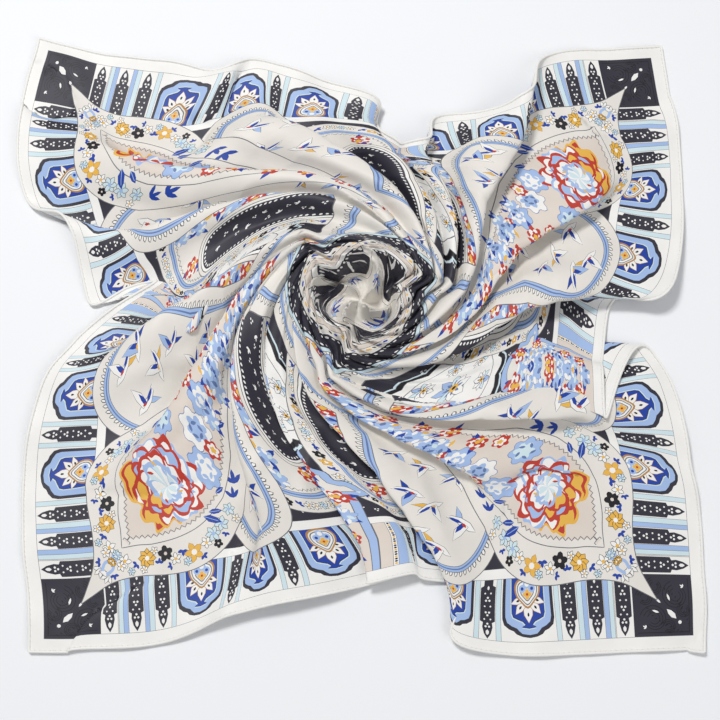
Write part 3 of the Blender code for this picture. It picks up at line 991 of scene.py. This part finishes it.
def bird(at, size, degrees, number):
    """A flying bird, coloured by its number: lowered wing, body, raised wing, tail."""
    lowered, raised = WING_COLOURS[number % 3]
    for shape, colour in ((LOWERED_WING, lowered), (BIRD_BODY, "white"), (RAISED_WING, raised)):
        edged(turned(shape * size, at, degrees), colour, "line_grey", 0.45)
    ink(turned(RAISED_WING * size * 0.55 + (0.02, 0.05), at, degrees + 6), "royal_blue")
    ink(turned(leaf(size * 0.7, size * 0.16), at, degrees + 172), "royal_blue")
    ink(turned(leaf(size * 0.3, size * 0.12), at, degrees + 20), "gold" if number % 2 else "red")


def teardrop(rows, steps=5):
    """A long drop that runs inwards: its middle and half-width at each depth from the hem."""
    t = np.array(rows, float)
    left = np.column_stack((t[:, 1] - t[:, 2], t[:, 0]))
    right = np.column_stack((t[:, 1] + t[:, 2], t[:, 0]))
    return curve(np.vstack((left, right[::-1])), steps)


BIRD_PAISLEY = (
    # depth, middle, half-width
    (80, 268, 10), (86, 268, 27), (100, 268, 40), (125, 268, 47), (160, 272, 46), (200, 280, 42),
    (250, 290, 36),
    (300, 296, 30), (350, 300, 22), (400, 306, 13), (436, 312, 4),
)
FLORAL_PAISLEY = (
    (104, 356, 10), (110, 356, 28), (124, 356, 41), (150, 358, 47), (190, 362, 45), (230, 364, 40),
    (280, 364, 33),
    (330, 362, 25), (380, 358, 15), (420, 350, 4),
)
DARK_PAISLEY = (
    (146, 374, 6), (153, 375, 15), (166, 376, 21), (190, 378, 23), (220, 380, 21), (255, 382, 18),
    (295, 381, 12),
    (335, 374, 4),
)
BIRD_DEPTHS = (98, 112, 125, 140, 156, 172, 190, 209, 229, 251, 275, 302, 332, 366)
BIRD_ASIDE = (0.1, 0.55, -0.5, 0.15, 0.5, -0.45)        # shares of the half-width
BIRD_TURNS = (200, 160, 215, 150, 205, 170)
BIRD_SIZE, BIRD_SHRINK = 22.0, 0.95                     # the first bird, and how much less each next
RING_KINDS = ("white", "bud", "dark", "gold", "bud", "white", "pale")


def loop_border(outline, pitch, size):
    """Small leaf loops standing round an outline."""
    closed = np.vstack((outline, outline[:1]))
    for p, d in along_path(closed, pitch):
        edged(turned(leaf(size, size * 0.42), p, d - 62), "white", "near_black", 0.75)


def double_line(outline, inside):
    """A light-blue and slate double line inside an outline."""
    ink(outline, "line_grey")
    ink(grown(outline, -0.6), "light_blue")
    ink(grown(outline, -2.6), "slate_blue")
    ink(grown(outline, -3.9), "light_blue")
    ink(grown(outline, -5.6), "line_grey")
    ink(grown(outline, -6.2), inside)


def bird_paisley():
    """The long paisley with a flock of birds."""
    core = teardrop(BIRD_PAISLEY)
    edged(grown(core, 17.0), "cream", "line_grey", 0.8)
    loop_border(grown(core, 8.8), 6.4, 6.0)
    double_line(grown(core, 5.0), "cream")
    table = np.array(BIRD_PAISLEY, float)
    for k, depth in enumerate(BIRD_DEPTHS):
        middle = np.interp(depth, table[:, 0], table[:, 1])
        half = np.interp(depth, table[:, 0], table[:, 2])
        place = (middle + BIRD_ASIDE[k % 6] * half, depth)
        bird(place, BIRD_SIZE - BIRD_SHRINK * k, BIRD_TURNS[k % 6], k)


def floral_paisley():
    """The shorter paisley: heaped flowers, and a charcoal drop inside."""
    core = teardrop(FLORAL_PAISLEY)
    edged(grown(core, 15.0), "cream", "line_grey", 0.8)
    ring = grown(core, 7.8)
    for k, (p, _) in enumerate(along_path(np.vstack((ring, ring[:1])), 9.0)):
        almond_flower(p[0], p[1], 4.6, RING_KINDS[k % len(RING_KINDS)])
    double_line(core, "cream")
    wave = grown(core, -9.5)
    wavy(np.vstack((wave, wave[:1])), 1.3, 5.5, 0.7, "line_grey")
    table = np.array(FLORAL_PAISLEY, float)
    spots = []
    for depth in range(126, 400, 20):
        middle = np.interp(depth, table[:, 0], table[:, 1])
        half = np.interp(depth, table[:, 0], table[:, 2])
        if depth < 148 or depth > 318:
            spots += [(middle - 0.45 * half, depth), (middle + 0.4 * half, depth + 4)]
        else:
            spots += [(middle - 0.6 * half, depth), (middle - 0.3 * half, depth + 10)]
    heap(spots, 12.5)
    dark_drop()


def dark_drop():
    """The charcoal drop inside the floral paisley, with beads and sprigs."""
    core = teardrop(DARK_PAISLEY)
    edged(grown(core, 6.5), "cream", "line_grey", 0.7)
    edged(grown(core, 2.4), "white", "near_black", 0.7)
    ink(core, "charcoal")
    edge = grown(core, -2.6)
    for p, _ in along_path(np.vstack((edge, edge[:1])), 4.4):
        ink(disc(p, 1.25, 6), "white")
    table = np.array(DARK_PAISLEY, float)
    for k, depth in enumerate(range(166, 300, 15)):
        middle = np.interp(depth, table[:, 0], table[:, 1])
        sprig((middle + (4, -5)[k % 2], depth), 4.6, 50 * k)
        trefoil((middle - (4, -5)[k % 2], depth + 6), 1.5, 30 * k)


FLORET_PETALS = (
    # direction, share of the size, colour
    (90, 1.0, "light_blue"), (40, 0.9, "aqua"), (140, 0.9, "aqua"), (0, 0.75, "white"),
    (180, 0.75, "white"), (-45, 0.8, "white"), (-90, 0.9, "white"), (-135, 0.8, "white"),
)


def floret(at, size, degrees, mirrored=True):
    """A small lotus floret with light-blue outer and white inner petals."""
    for turn, length, colour in FLORET_PETALS:
        outline = turned(leaf(size * length, size * 0.42), at, degrees + turn)
        edged(outline, colour, "line_grey", 0.55, mirrored)
        ink(turned(leaf(size * length * 0.55, size * 0.15), at, degrees + turn), "slate_blue", mirrored)
    ink(disc(at, size * 0.22, 8), "gold", mirrored)
    ink(disc(at, size * 0.1, 6), "near_black", mirrored)


def scallops(outline, count, depth):
    """The outline with round scallops along it."""
    closed = np.vstack((outline, outline[:1]))
    length = np.linalg.norm(np.diff(closed, axis=0), axis=1).sum()
    out = []
    pitch = length / (count * 6)
    for i, (p, d) in enumerate(along_path(closed, pitch)):
        a = math.radians(d - 90.0)
        out.append(p + depth * abs(math.sin(math.pi * i / 6.0)) * np.array((math.cos(a), math.sin(a))))
    return np.array(out[:count * 6])


MID_FLOWERS = (
    (447, 26), (432, 32), (440, 44), (450, 56), (429, 58), (438, 70), (426, 84), (447, 84), (434, 98),
    (448, 106),
    (424, 112), (438, 122), (449, 134), (434, 138),
)


OGEE = (
    # x, depth
    (404, 112), (402, 124), (409, 132), (416, 133), (419, 143), (430, 146), (436, 156), (450, 162),
    (464, 156), (470, 146), (481, 143), (484, 133), (491, 132), (498, 124), (496, 112),
)
BOUQUET_LINES = (
    # from, colour
    (409.5, "line_grey"), (410, "light_blue"), (415.5, "line_grey"), (416.2, "beige"),
)
BOUQUET_IN = 128.0          # the panel's inner edge


def mid_side():
    """The bouquet panel at the middle of each side and the white medallion inside it."""
    for x0, colour in BOUQUET_LINES:
        ink(block(x0, MARGIN, PAST_MIDDLE, BOUQUET_IN), colour)
    ogee = curve(OGEE, 3)
    edged(ogee, "light_blue", "charcoal", 0.9)
    edged(grown(ogee, -7.0), "cream", "line_grey", 0.6)
    ink(block(416.2, 90, PAST_MIDDLE, 126), "cream")
    heap(MID_FLOWERS, 12.0)


MEDALLIONS = (
    # place, radius, scallops
    ((450, 218), 46, 12), ((344, 344), 34, 9),
)
STREWN_BLOSSOMS = (
    # place, turn
    ((398, 172), 200), ((392, 268), 130), ((424, 300), 100), ((404, 330), 60), ((436, 322), 20),
)


def medallions():
    """White medallions with florets, outlined in charcoal and aqua, round the middle."""
    for at, size, count in MEDALLIONS:
        ring = scallops(disc(at, size, 36), count, 5.0)
        ink(grown(ring, 7.5), "aqua")
        ink(grown(ring, 5.5), "line_grey")
        ink(grown(ring, 5.0), "near_black")
        edged(ring, "white", "line_grey", 0.6)
        ink(disc(at, size * 0.86, 30), "line_grey")
        ink(disc(at, size * 0.86 - 0.8, 30), "white")
        floret(at, size * 0.36, 20)
        for k in range(6):
            floret(away_from(at, 0.62 * size, 60 * k + 30), size * 0.22, 60 * k + 300)
    for p, turn in STREWN_BLOSSOMS:
        blossom(p, 8, 8, "gold", "near_black", turn)
        for k in (-35, 0, 35):
            edged(turned(leaf(15, 6), p, turn + k), "white", "line_grey", 0.6)


MIDDLE = (HALF, HALF)       # the middle of the cloth


def ring_of(radius, lobes, depth):
    """A lobed ring round the middle of the cloth."""
    return turned(lobed(radius, lobes, depth, 9), MIDDLE, 10.0)


OVERLAP = 6.0               # shapes with their middles this far past the cloth's are drawn too


def beads(radius, count, size, colours, lobes, depth):
    """Beads along a lobed ring round the middle."""
    ring = ring_of(radius, lobes, depth)
    closed = np.vstack((ring, ring[:1]))
    length = np.linalg.norm(np.diff(closed, axis=0), axis=1).sum()
    for k, (p, _) in enumerate(along_path(closed, length / count)):
        if p.max() < HALF + OVERLAP:
            ink(disc(p, size, 6), colours[k % len(colours)], False)


BEAD_ROWS = (
    # radius, beads, size, colours, lobes, depth
    (130, 150, 1.5, ("white",), 16, 0.05),
    (108, 124, 1.5, ("white",), 12, 0.06),
    (97, 96, 2.0, ("gold", "near_black", "royal_blue"), 12, 0.06),
    (77.5, 100, 1.3, ("white",), 12, 0.06),
)
FEATHERS, SPRIGS = 64, 24
CENTRE_RINGS = (
    # radius, lobes, depth, colour
    (140, 16, 0.05, "line_grey"), (139, 16, 0.05, "aqua"), (134, 16, 0.05, "charcoal"),
    (104, 12, 0.06, "white"),
    (102.5, 12, 0.06, "cream"), (93, 12, 0.06, "line_grey"), (92.3, 12, 0.06, "beige"),
    (85, 12, 0.06, "line_grey"),
    (84.3, 12, 0.06, "white"), (80, 12, 0.06, "charcoal"),
)
HEART_STAR = (
    # degrees from an arm's middle, radius
    (0, 84), (10, 70), (19, 58), (28, 47), (38, 41), (45, 39),
)


def heart_star(share):
    """A four-armed star, its arms on the diagonals."""
    half = np.array(HEART_STAR, float)
    turn = np.concatenate((half[:, 0], 90.0 - half[-2:0:-1, 0]))
    reach = np.concatenate((half[:, 1], half[-2:0:-1, 1]))
    a = np.radians(45.0 + np.concatenate([turn + 90.0 * k for k in range(4)]))
    r = np.tile(reach, 4) * share
    return np.column_stack((HALF + r * np.cos(a), HALF + r * np.sin(a)))


def centre():
    """The middle of the cloth: a cream star with birds, in charcoal and beaded lobed rings."""
    for radius, lobes, depth, colour in CENTRE_RINGS:
        ink(ring_of(radius, lobes, depth), colour, False)
    for row in BEAD_ROWS:
        beads(*row)
    for k in range(FEATHERS):
        way = 360.0 * k / FEATHERS
        place = away_from(MIDDLE, 52 + 7 * (k % 3), way)
        if max(place) < HALF + OVERLAP:
            ink(turned(leaf(15, 2.8), place, way + 38), "white", False)
    for k in range(SPRIGS):
        place = away_from(MIDDLE, 119, 15.0 * k + 5.0)
        if max(place) < HALF + 2.0:
            trefoil(place, 2.2, 15 * k, mirrored=False)
    edged(heart_star(1.0), "cream", "near_black", 0.8, False)
    ring = heart_star(0.86)
    ink(ring, "line_grey", False)
    ink(grown(ring, -0.6), "cream", False)
    bird((HALF - 29, HALF - 25), 15, 235, 1)


MARKS_FROM, MARK_PITCH, MARK_ROWS = 92.0, 22.0, 17      # small marks on the charcoal ground


def ground_marks():
    """Small white trefoils strewn on the charcoal ground."""
    for i in range(MARK_ROWS):
        for j in range(MARK_ROWS):
            x = MARKS_FROM + MARK_PITCH * i + (MARK_PITCH / 2.0 if j % 2 else 0.0)
            y = MARKS_FROM + MARK_PITCH * j
            if y <= x < HALF:
                trefoil((x, y), 1.6, 47.0 * (i + j))
                ink(disc((x + 9, y + 4), 0.8, 5), "white")


def draw_print():
    """The whole print of one quarter, from the ground upwards."""
    border_band()
    ground_marks()
    medallions()
    floral_paisley()
    bird_paisley()
    mid_side()
    almond()
    centre()


# ======================================================================== the cloth's meshes
CLOSE_STEP, WIDE_STEP = 3.0, 5.5        # spacing of the cloth's own points, wound and outer part
WOUND_TO = 300.0                        # flat radius of the wound part
STAGGER = 0.25                          # share of the spacing by which rows are set off
EDGE_STEP = 2.5                         # spacing of the points along the quarter's edges
LONGEST_EDGE = 5.5                      # longer edges of the print are divided
MERGE_WITHIN = 0.02                     # points closer than this are made one
LEAST_AREA = 1e-6
COVER_SIZE = 12.0                       # only shapes wider than this are tried as covers
COVER_FILL = 0.4                        # and only those that fill this share of their box
CROSSINGS_AT_ONCE = 400000
NORMAL_REACH = 0.6                      # how far from a point its normal is measured


def inside_of(outline, points):
    """Which points lie inside an outline, by the count of crossings."""
    a, b = outline, np.roll(outline, -1, 0)
    rises = (b[:, 1] - a[:, 1])[:, None]
    slope = (b[:, 0] - a[:, 0])[:, None] / np.where(rises == 0.0, 1.0, rises)
    inside = np.empty(len(points), bool)
    batch = CROSSINGS_AT_ONCE // len(outline) + 1
    for start in range(0, len(points), batch):
        x, y = points[start:start + batch].T
        crosses = (a[:, 1, None] > y) != (b[:, 1, None] > y)
        left = x < slope * (y - a[:, 1, None]) + a[:, 0, None]
        inside[start:start + batch] = np.logical_xor.reduce(crosses & left, axis=0)
    return inside


def area_of(outline):
    """The area inside an outline."""
    x, y = outline.T
    return abs((x * np.roll(y, -1) - y * np.roll(x, -1)).sum()) / 2.0


def clipped(outline):
    """The outline cut to the quarter, from 0 to 450 each way."""
    for axis in (0, 1):
        for limit, sign in ((0.0, 1.0), (HALF, -1.0)):
            kept = []
            side = (outline[:, axis] - limit) * sign
            for i in range(len(outline)):
                j = (i + 1) % len(outline)
                if side[i] >= 0:
                    kept.append(outline[i])
                if (side[i] >= 0) != (side[j] >= 0):
                    t = side[i] / (side[i] - side[j])
                    p = outline[i] + t * (outline[j] - outline[i])
                    p[axis] = limit
                    kept.append(p)
            if len(kept) < 3:
                return None
            outline = np.array(kept)
    return outline


def split_long(outline):
    """The outline with its long edges divided, so that they can follow the folds."""
    out = []
    for a, b in zip(outline, np.roll(outline, -1, 0)):
        parts = max(1, math.ceil(np.linalg.norm(b - a) / LONGEST_EDGE))
        out.extend(a + (b - a) * k / parts for k in range(parts))
    return np.array(out)


def showing_shapes():
    """The shapes, cut to the quarter, without those that a later one covers."""
    shapes = [(clipped(outline), colour) for outline, colour in SHAPES]
    shapes = [(outline, colour) for outline, colour in shapes if outline is not None]
    covers = []
    kept = []
    for outline, colour in shapes[::-1]:
        low, high = outline.min(0), outline.max(0)
        if any((a <= low).all() and (b >= high).all() and inside_of(cover, outline).all()
               for cover, a, b in covers):
            continue
        kept.append((outline, colour))
        if (high - low).min() > COVER_SIZE and area_of(outline) > COVER_FILL * np.prod(high - low):
            covers.append((outline, low, high))
    return kept[::-1]


def printed_quarter():
    """Triangles of the flat quarter whose edges follow the print, with each one's colour."""
    points, edges = [], []
    shapes = showing_shapes()
    for outline, colour in shapes:
        outline = split_long(outline)
        first = len(points)
        points.extend(outline)
        edges.extend((first + i, first + (i + 1) % len(outline)) for i in range(len(outline)))
    first = len(points)
    line = np.arange(0.0, HALF + 0.1, EDGE_STEP)
    frame_points = ([(t, 0.0) for t in line[:-1]] + [(HALF, t) for t in line[:-1]]
                    + [(t, HALF) for t in line[:0:-1]] + [(0.0, t) for t in line[:0:-1]])
    points.extend(np.array(frame_points))
    edges.extend((first + i, first + (i + 1) % len(frame_points)) for i in range(len(frame_points)))
    for step, near in ((CLOSE_STEP, True), (WIDE_STEP, False)):
        row = np.arange(step, HALF - 1.0, step)
        x, y = np.meshgrid(row, row)
        x = x + np.where(np.arange(len(row)) % 2, STAGGER, -STAGGER)[:, None] * step
        at = np.column_stack((x.ravel(), y.ravel()))
        reach = np.hypot(HALF - at[:, 0], HALF - at[:, 1])
        points.extend(at[(reach < WOUND_TO) if near else (reach >= WOUND_TO)])
    flat = [Vector((float(p[0]), float(p[1]))) for p in points]
    verts, _, faces, _, _, _ = delaunay_2d_cdt(flat, edges, [], 0, MERGE_WITHIN, False)
    verts = np.array([(p.x, p.y) for p in verts])
    faces = np.array(faces, int)
    a, b, c = (verts[faces[:, i]] for i in range(3))
    area = (b[:, 0] - a[:, 0]) * (c[:, 1] - a[:, 1]) - (b[:, 1] - a[:, 1]) * (c[:, 0] - a[:, 0])
    faces = faces[np.abs(area) > LEAST_AREA]
    middle = verts[faces].mean(1)
    order = np.argsort(middle[:, 0])
    sorted_x = middle[order, 0]
    colour_of = np.zeros(len(faces), int)
    for outline, colour in shapes:
        low, high = outline.min(0), outline.max(0)
        some = order[np.searchsorted(sorted_x, low[0]):np.searchsorted(sorted_x, high[0])]
        y = middle[some, 1]
        some = some[(y > low[1]) & (y < high[1])]
        colour_of[some[inside_of(outline, middle[some])]] = COLOUR_NAMES.index(colour)
    return verts, faces, colour_of


QUARTERS = (
    # name, sign of u, sign of v
    ("cloth_front_left", -1, -1), ("cloth_front_right", 1, -1), ("cloth_back_right", 1, 1),
    ("cloth_back_left", -1, 1),
)


def cloth_quarter(name, sign_u, sign_v, print_flat, laid, material):
    """One printed quarter of the cloth, laid and folded."""
    verts, faces, colour_of = print_flat
    flat = np.column_stack((sign_u * (HALF - verts[:, 0]), sign_v * (HALF - verts[:, 1])))
    if sign_u * sign_v < 0:
        faces = faces[:, ::-1]
    xyz = laid(flat) * MM
    mesh = bpy.data.meshes.new(name)
    mesh.from_pydata(xyz.tolist(), [], faces.tolist())
    palette = np.array([linear(COLOURS[n]) for n in COLOUR_NAMES])
    dye = mesh.color_attributes.new("print", "FLOAT_COLOR", "CORNER")
    dye.data.foreach_set("color", np.repeat(palette[colour_of], 3, axis=0).ravel())
    uv = mesh.uv_layers.new(name="OFBake")
    uv.data.foreach_set("uv", (verts[faces.ravel()] / HALF).ravel())
    du = laid(flat + (NORMAL_REACH, 0.0)) - laid(flat - (NORMAL_REACH, 0.0))
    dv = laid(flat + (0.0, NORMAL_REACH)) - laid(flat - (0.0, NORMAL_REACH))
    normal = np.cross(du, dv)
    normal /= np.linalg.norm(normal, axis=1)[:, None] + 1e-12
    mesh.shade_smooth()
    mesh.normals_split_custom_set_from_vertices(normal.tolist())
    mesh.materials.append(material)
    mesh.validate()
    piece = bpy.data.objects.new(name, mesh)
    bpy.context.scene.collection.objects.link(piece)
    return piece


# ======================================================================== hems
HEM_STEP = 2.5              # spacing of the points along a hem (mm)
ROLL_SIDES, THREAD_SIDES = 12, 6
SWELLING_SCALE = 70.0       # the noise that makes the roll uneven: swellings in a metre
STITCH_OUT = 0.7            # how far the stitches stand out, as a share of the roll's radius
STITCH_RISE = 0.9           # how far up they sit, against 1 inwards
HEM_SIZES = {
    # metres, but for the share and the seed
    "Roll Radius": 1.45 * MM,
    "Swelling Share": 0.3,
    "Stitch Pitch": 5.2 * MM,
    "Stitch Length": 2.3 * MM,
    "Stitch Radius": 0.19 * MM,
    "Seed": 5.0,
}
SIDES = (
    # name, signs of u and v at the start, and at the end
    ("hem_front", (-1, -1), (1, -1)),
    ("hem_right", (1, -1), (1, 1)),
    ("hem_back", (1, 1), (-1, 1)),
    ("hem_left", (-1, 1), (-1, -1)),
)
NUMBER, VECTOR = "ShaderNodeMath", "ShaderNodeVectorMath"


def math_node(tree, kind, operation, first, second):
    """A vector or number operation on two sources, or on a source and a constant."""
    made = node(tree, kind, {"operation": operation})
    for key, source in ((0, first), (3 if operation == "SCALE" else 1, second)):
        if isinstance(source, bpy.types.NodeSocket):
            tree.links.new(source, made.inputs[key])
        else:
            made.inputs[key].default_value = source
    return made.outputs[0]


def stitched_hem():
    """Node tree: a line becomes a rolled hem, uneven in thickness, with small slanting stitches."""
    tree = bpy.data.node_groups.new("stitched hem", "GeometryNodeTree")
    tree.interface.new_socket(name="Line", in_out="INPUT", socket_type="NodeSocketGeometry")
    for name, size in HEM_SIZES.items():
        socket = tree.interface.new_socket(name=name, in_out="INPUT", socket_type="NodeSocketFloat")
        socket.default_value = size
    for name in ("Silk", "Thread"):
        tree.interface.new_socket(name=name, in_out="INPUT", socket_type="NodeSocketMaterial")
    tree.interface.new_socket(name="Hem", in_out="OUTPUT", socket_type="NodeSocketGeometry")
    given = node(tree, "NodeGroupInput").outputs
    line = node(tree, "GeometryNodeMeshToCurve", Mesh=given["Line"]).outputs["Curve"]
    noise = {"noise_dimensions": "4D", "Scale": SWELLING_SCALE, "Detail": 1.0}
    swell = node(tree, "ShaderNodeTexNoise", noise, W=given["Seed"]).outputs["Fac"]
    share = math_node(tree, NUMBER, "MULTIPLY", math_node(tree, NUMBER, "SUBTRACT", swell, 0.5),
                      given["Swelling Share"])
    uneven = node(tree, "GeometryNodeSetCurveRadius", Curve=line,
                  Radius=math_node(tree, NUMBER, "ADD", share, 1.0))
    ring = node(tree, "GeometryNodeCurvePrimitiveCircle", {"Resolution": ROLL_SIDES},
                Radius=given["Roll Radius"])
    tube = node(tree, "GeometryNodeCurveToMesh", {"Fill Caps": True}, Curve=uneven.outputs[0],
                Profile_Curve=ring.outputs["Curve"])
    roll = node(tree, "GeometryNodeSetMaterial", Geometry=tube.outputs[0], Material=given["Silk"])
    spots = node(tree, "GeometryNodeCurveToPoints", {"mode": "LENGTH"}, Curve=line,
                 Length=given["Stitch Pitch"])
    inwards = math_node(tree, VECTOR, "CROSS_PRODUCT", (0.0, 0.0, 1.0), spots.outputs["Tangent"])
    upwards = math_node(tree, VECTOR, "ADD", inwards, (0.0, 0.0, STITCH_RISE))
    side = math_node(tree, VECTOR, "SCALE", upwards, given["Roll Radius"])
    offset = math_node(tree, VECTOR, "SCALE", side, STITCH_OUT)
    lifted = node(tree, "GeometryNodeSetPosition", Geometry=spots.outputs["Points"], Offset=offset)
    slant = math_node(tree, VECTOR, "ADD", spots.outputs["Tangent"], inwards)
    turn = node(tree, "FunctionNodeAlignRotationToVector", {"axis": "Z"}, Vector=slant)
    thread = node(tree, "GeometryNodeMeshCylinder", {"Vertices": THREAD_SIDES},
                  Radius=given["Stitch Radius"], Depth=given["Stitch Length"])
    placed = node(tree, "GeometryNodeInstanceOnPoints", Points=lifted.outputs[0],
                  Instance=thread.outputs["Mesh"], Rotation=turn.outputs[0])
    made = node(tree, "GeometryNodeRealizeInstances", Geometry=placed.outputs[0])
    sewn = node(tree, "GeometryNodeSetMaterial", Geometry=made.outputs[0], Material=given["Thread"])
    both = node(tree, "GeometryNodeJoinGeometry")
    for part in (sewn, roll):
        tree.links.new(part.outputs[0], both.inputs[0])
    out = node(tree, "NodeGroupOutput")
    tree.links.new(both.outputs[0], out.inputs[0])
    return tree


def hem_roll(name, start, end, laid, tree, silk, thread):
    """The hem along one side, rolled and sewn by hand."""
    t = np.linspace(0.0, 1.0, int(2.0 * HALF / HEM_STEP) + 1)[:, None]
    path = laid(HALF * (np.array(start) * (1.0 - t) + np.array(end) * t)) * MM
    line = bpy.data.meshes.new(name + "_line")
    line.from_pydata(path.tolist(), [(i, i + 1) for i in range(len(path) - 1)], [])
    piece = bpy.data.objects.new(name, line)
    bpy.context.scene.collection.objects.link(piece)
    maker = piece.modifiers.new("hem", "NODES")
    maker.node_group = tree
    sockets = {item.name: item.identifier for item in tree.interface.items_tree if item.in_out == "INPUT"}
    for key, size in HEM_SIZES.items():
        maker[sockets[key]] = size
    maker[sockets["Silk"]], maker[sockets["Thread"]] = silk, thread
    mesh = bpy.data.meshes.new_from_object(piece.evaluated_get(bpy.context.evaluated_depsgraph_get()))
    piece.modifiers.clear()
    piece.data = mesh
    bpy.data.meshes.remove(line)
    mesh.name = name
    mesh.shade_smooth()
    return piece


# ======================================================================== materials
TWILL = {"Roughness": 0.52, "Specular IOR Level": 0.32, "Sheen Weight": 0.08, "Sheen Roughness": 0.4,
         "IOR": 1.54}
ROLLED_SILK = {"Roughness": 0.5, "Sheen Weight": 0.2}
THREAD = {"Roughness": 0.45}
PAPER = {"Base Color": linear("#F3F4F5"), "Roughness": 0.9}
FLOOR_REACH = 2.5           # m


def silk_twill():
    """Silk twill, screen printed: fine diagonal ribs, a soft sheen, ink colours slightly uneven."""
    material, tree, surface = new_material("printed silk twill")
    dye = node(tree, "ShaderNodeVertexColor", {"layer_name": "print"})
    place = node(tree, "ShaderNodeUVMap", {"uv_map": "OFBake"})
    cloud = node(tree, "ShaderNodeTexNoise", {"Scale": 9.0, "Detail": 3.0}, Vector=place.outputs[0])
    shades = {"From Min": 0.3, "From Max": 0.7, "To Min": 0.94, "To Max": 1.03}
    uneven = node(tree, "ShaderNodeMapRange", shades, Value=cloud.outputs["Fac"])
    shade = node(tree, "ShaderNodeMix", {"data_type": "RGBA", "blend_type": "MULTIPLY", 0: 1.0},
                 _6=dye.outputs["Color"], _7=uneven.outputs[0])
    tree.links.new(shade.outputs[2], surface.inputs["Base Color"])
    # The real rib is 0.35 mm apart; it is drawn three times as coarse, to show.
    ribs = {"Scale": 95.0, "wave_type": "BANDS", "bands_direction": "DIAGONAL"}
    rib = node(tree, "ShaderNodeTexWave", ribs, Vector=place.outputs[0])
    bump = node(tree, "ShaderNodeBump", {"Strength": 0.12, "Distance": 0.0002}, Height=rib.outputs["Fac"])
    tree.links.new(bump.outputs[0], surface.inputs["Normal"])
    settle(surface, TWILL)
    return material


def hem_silk():
    """The same silk rolled into a hem: white ground, thread by thread."""
    material, tree, surface = new_material("rolled silk hem")
    place = node(tree, "ShaderNodeTexCoord")
    grain = node(tree, "ShaderNodeTexNoise", {"Scale": 900.0, "Detail": 2.0}, Vector=place.outputs["Object"])
    tint = node(tree, "ShaderNodeMix", {"data_type": "RGBA", 6: linear("#EDEAE3"), 7: linear("#F7F5F0")},
                _0=grain.outputs["Fac"])
    tree.links.new(tint.outputs[2], surface.inputs["Base Color"])
    bump = node(tree, "ShaderNodeBump", {"Strength": 0.2, "Distance": 0.0003}, Height=grain.outputs["Fac"])
    tree.links.new(bump.outputs[0], surface.inputs["Normal"])
    settle(surface, ROLLED_SILK)
    return material


def hem_thread():
    """White silk sewing thread."""
    material, tree, surface = new_material("silk sewing thread")
    place = node(tree, "ShaderNodeTexCoord")
    twist = node(tree, "ShaderNodeTexNoise", {"Scale": 2500.0}, Vector=place.outputs["Object"])
    tint = node(tree, "ShaderNodeMix", {"data_type": "RGBA", 6: linear("#CFCBC2"), 7: linear("#E9E5DC")},
                _0=twist.outputs["Fac"])
    tree.links.new(tint.outputs[2], surface.inputs["Base Color"])
    settle(surface, THREAD)
    return material


def studio_floor():
    """White paper sweep: matt, with a faint tooth."""
    material, tree, surface = new_material("white paper")
    place = node(tree, "ShaderNodeTexCoord")
    tooth = node(tree, "ShaderNodeTexNoise", {"Scale": 400.0}, Vector=place.outputs["Object"])
    bump = node(tree, "ShaderNodeBump", {"Strength": 0.05, "Distance": 0.0002}, Height=tooth.outputs["Fac"])
    tree.links.new(bump.outputs[0], surface.inputs["Normal"])
    settle(surface, PAPER)
    mesh = bpy.data.meshes.new("floor")
    corners = [(x * FLOOR_REACH, y * FLOOR_REACH, 0) for x, y in ((-1, -1), (1, -1), (1, 1), (-1, 1))]
    mesh.from_pydata(corners, [], [(0, 1, 2, 3)])
    mesh.materials.append(material)
    floor = bpy.data.objects.new("floor", mesh)
    bpy.context.scene.collection.objects.link(floor)


# ======================================================================== the object
def build():
    """Make every piece with its material, then attach each to what it rides on and hide the parts it
    replaces.
    """
    place_camera()
    place_lights()
    studio_floor()
    laid = make_laid()
    draw_print()
    quarter = printed_quarter()
    silk, hem, thread, tree = silk_twill(), hem_silk(), hem_thread(), stitched_hem()
    cloths = {name: cloth_quarter(name, su, sv, quarter, laid, silk) for name, su, sv in QUARTERS}
    hems = {name: hem_roll(name, a, b, laid, tree, hem, thread) for name, a, b in SIDES}
    covered = {name: [] for name in list(cloths) + list(hems)}
    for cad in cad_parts:
        low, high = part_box(cad)
        x, y = (low[0] + high[0]) / 2.0, (low[1] + high[1]) / 2.0
        end = "front" if y < 0 else "back"
        hand = "left" if x < 0 else "right"
        if cad.startswith("hem_"):
            covered["hem_" + (end if abs(y) > abs(x) else hand)].append(cad)
        else:
            covered[f"cloth_{end}_{hand}"].append(cad)
    for name, piece in {**cloths, **hems}.items():
        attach(piece, "root")
        if covered[name]:
            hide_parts(*covered[name])


build()
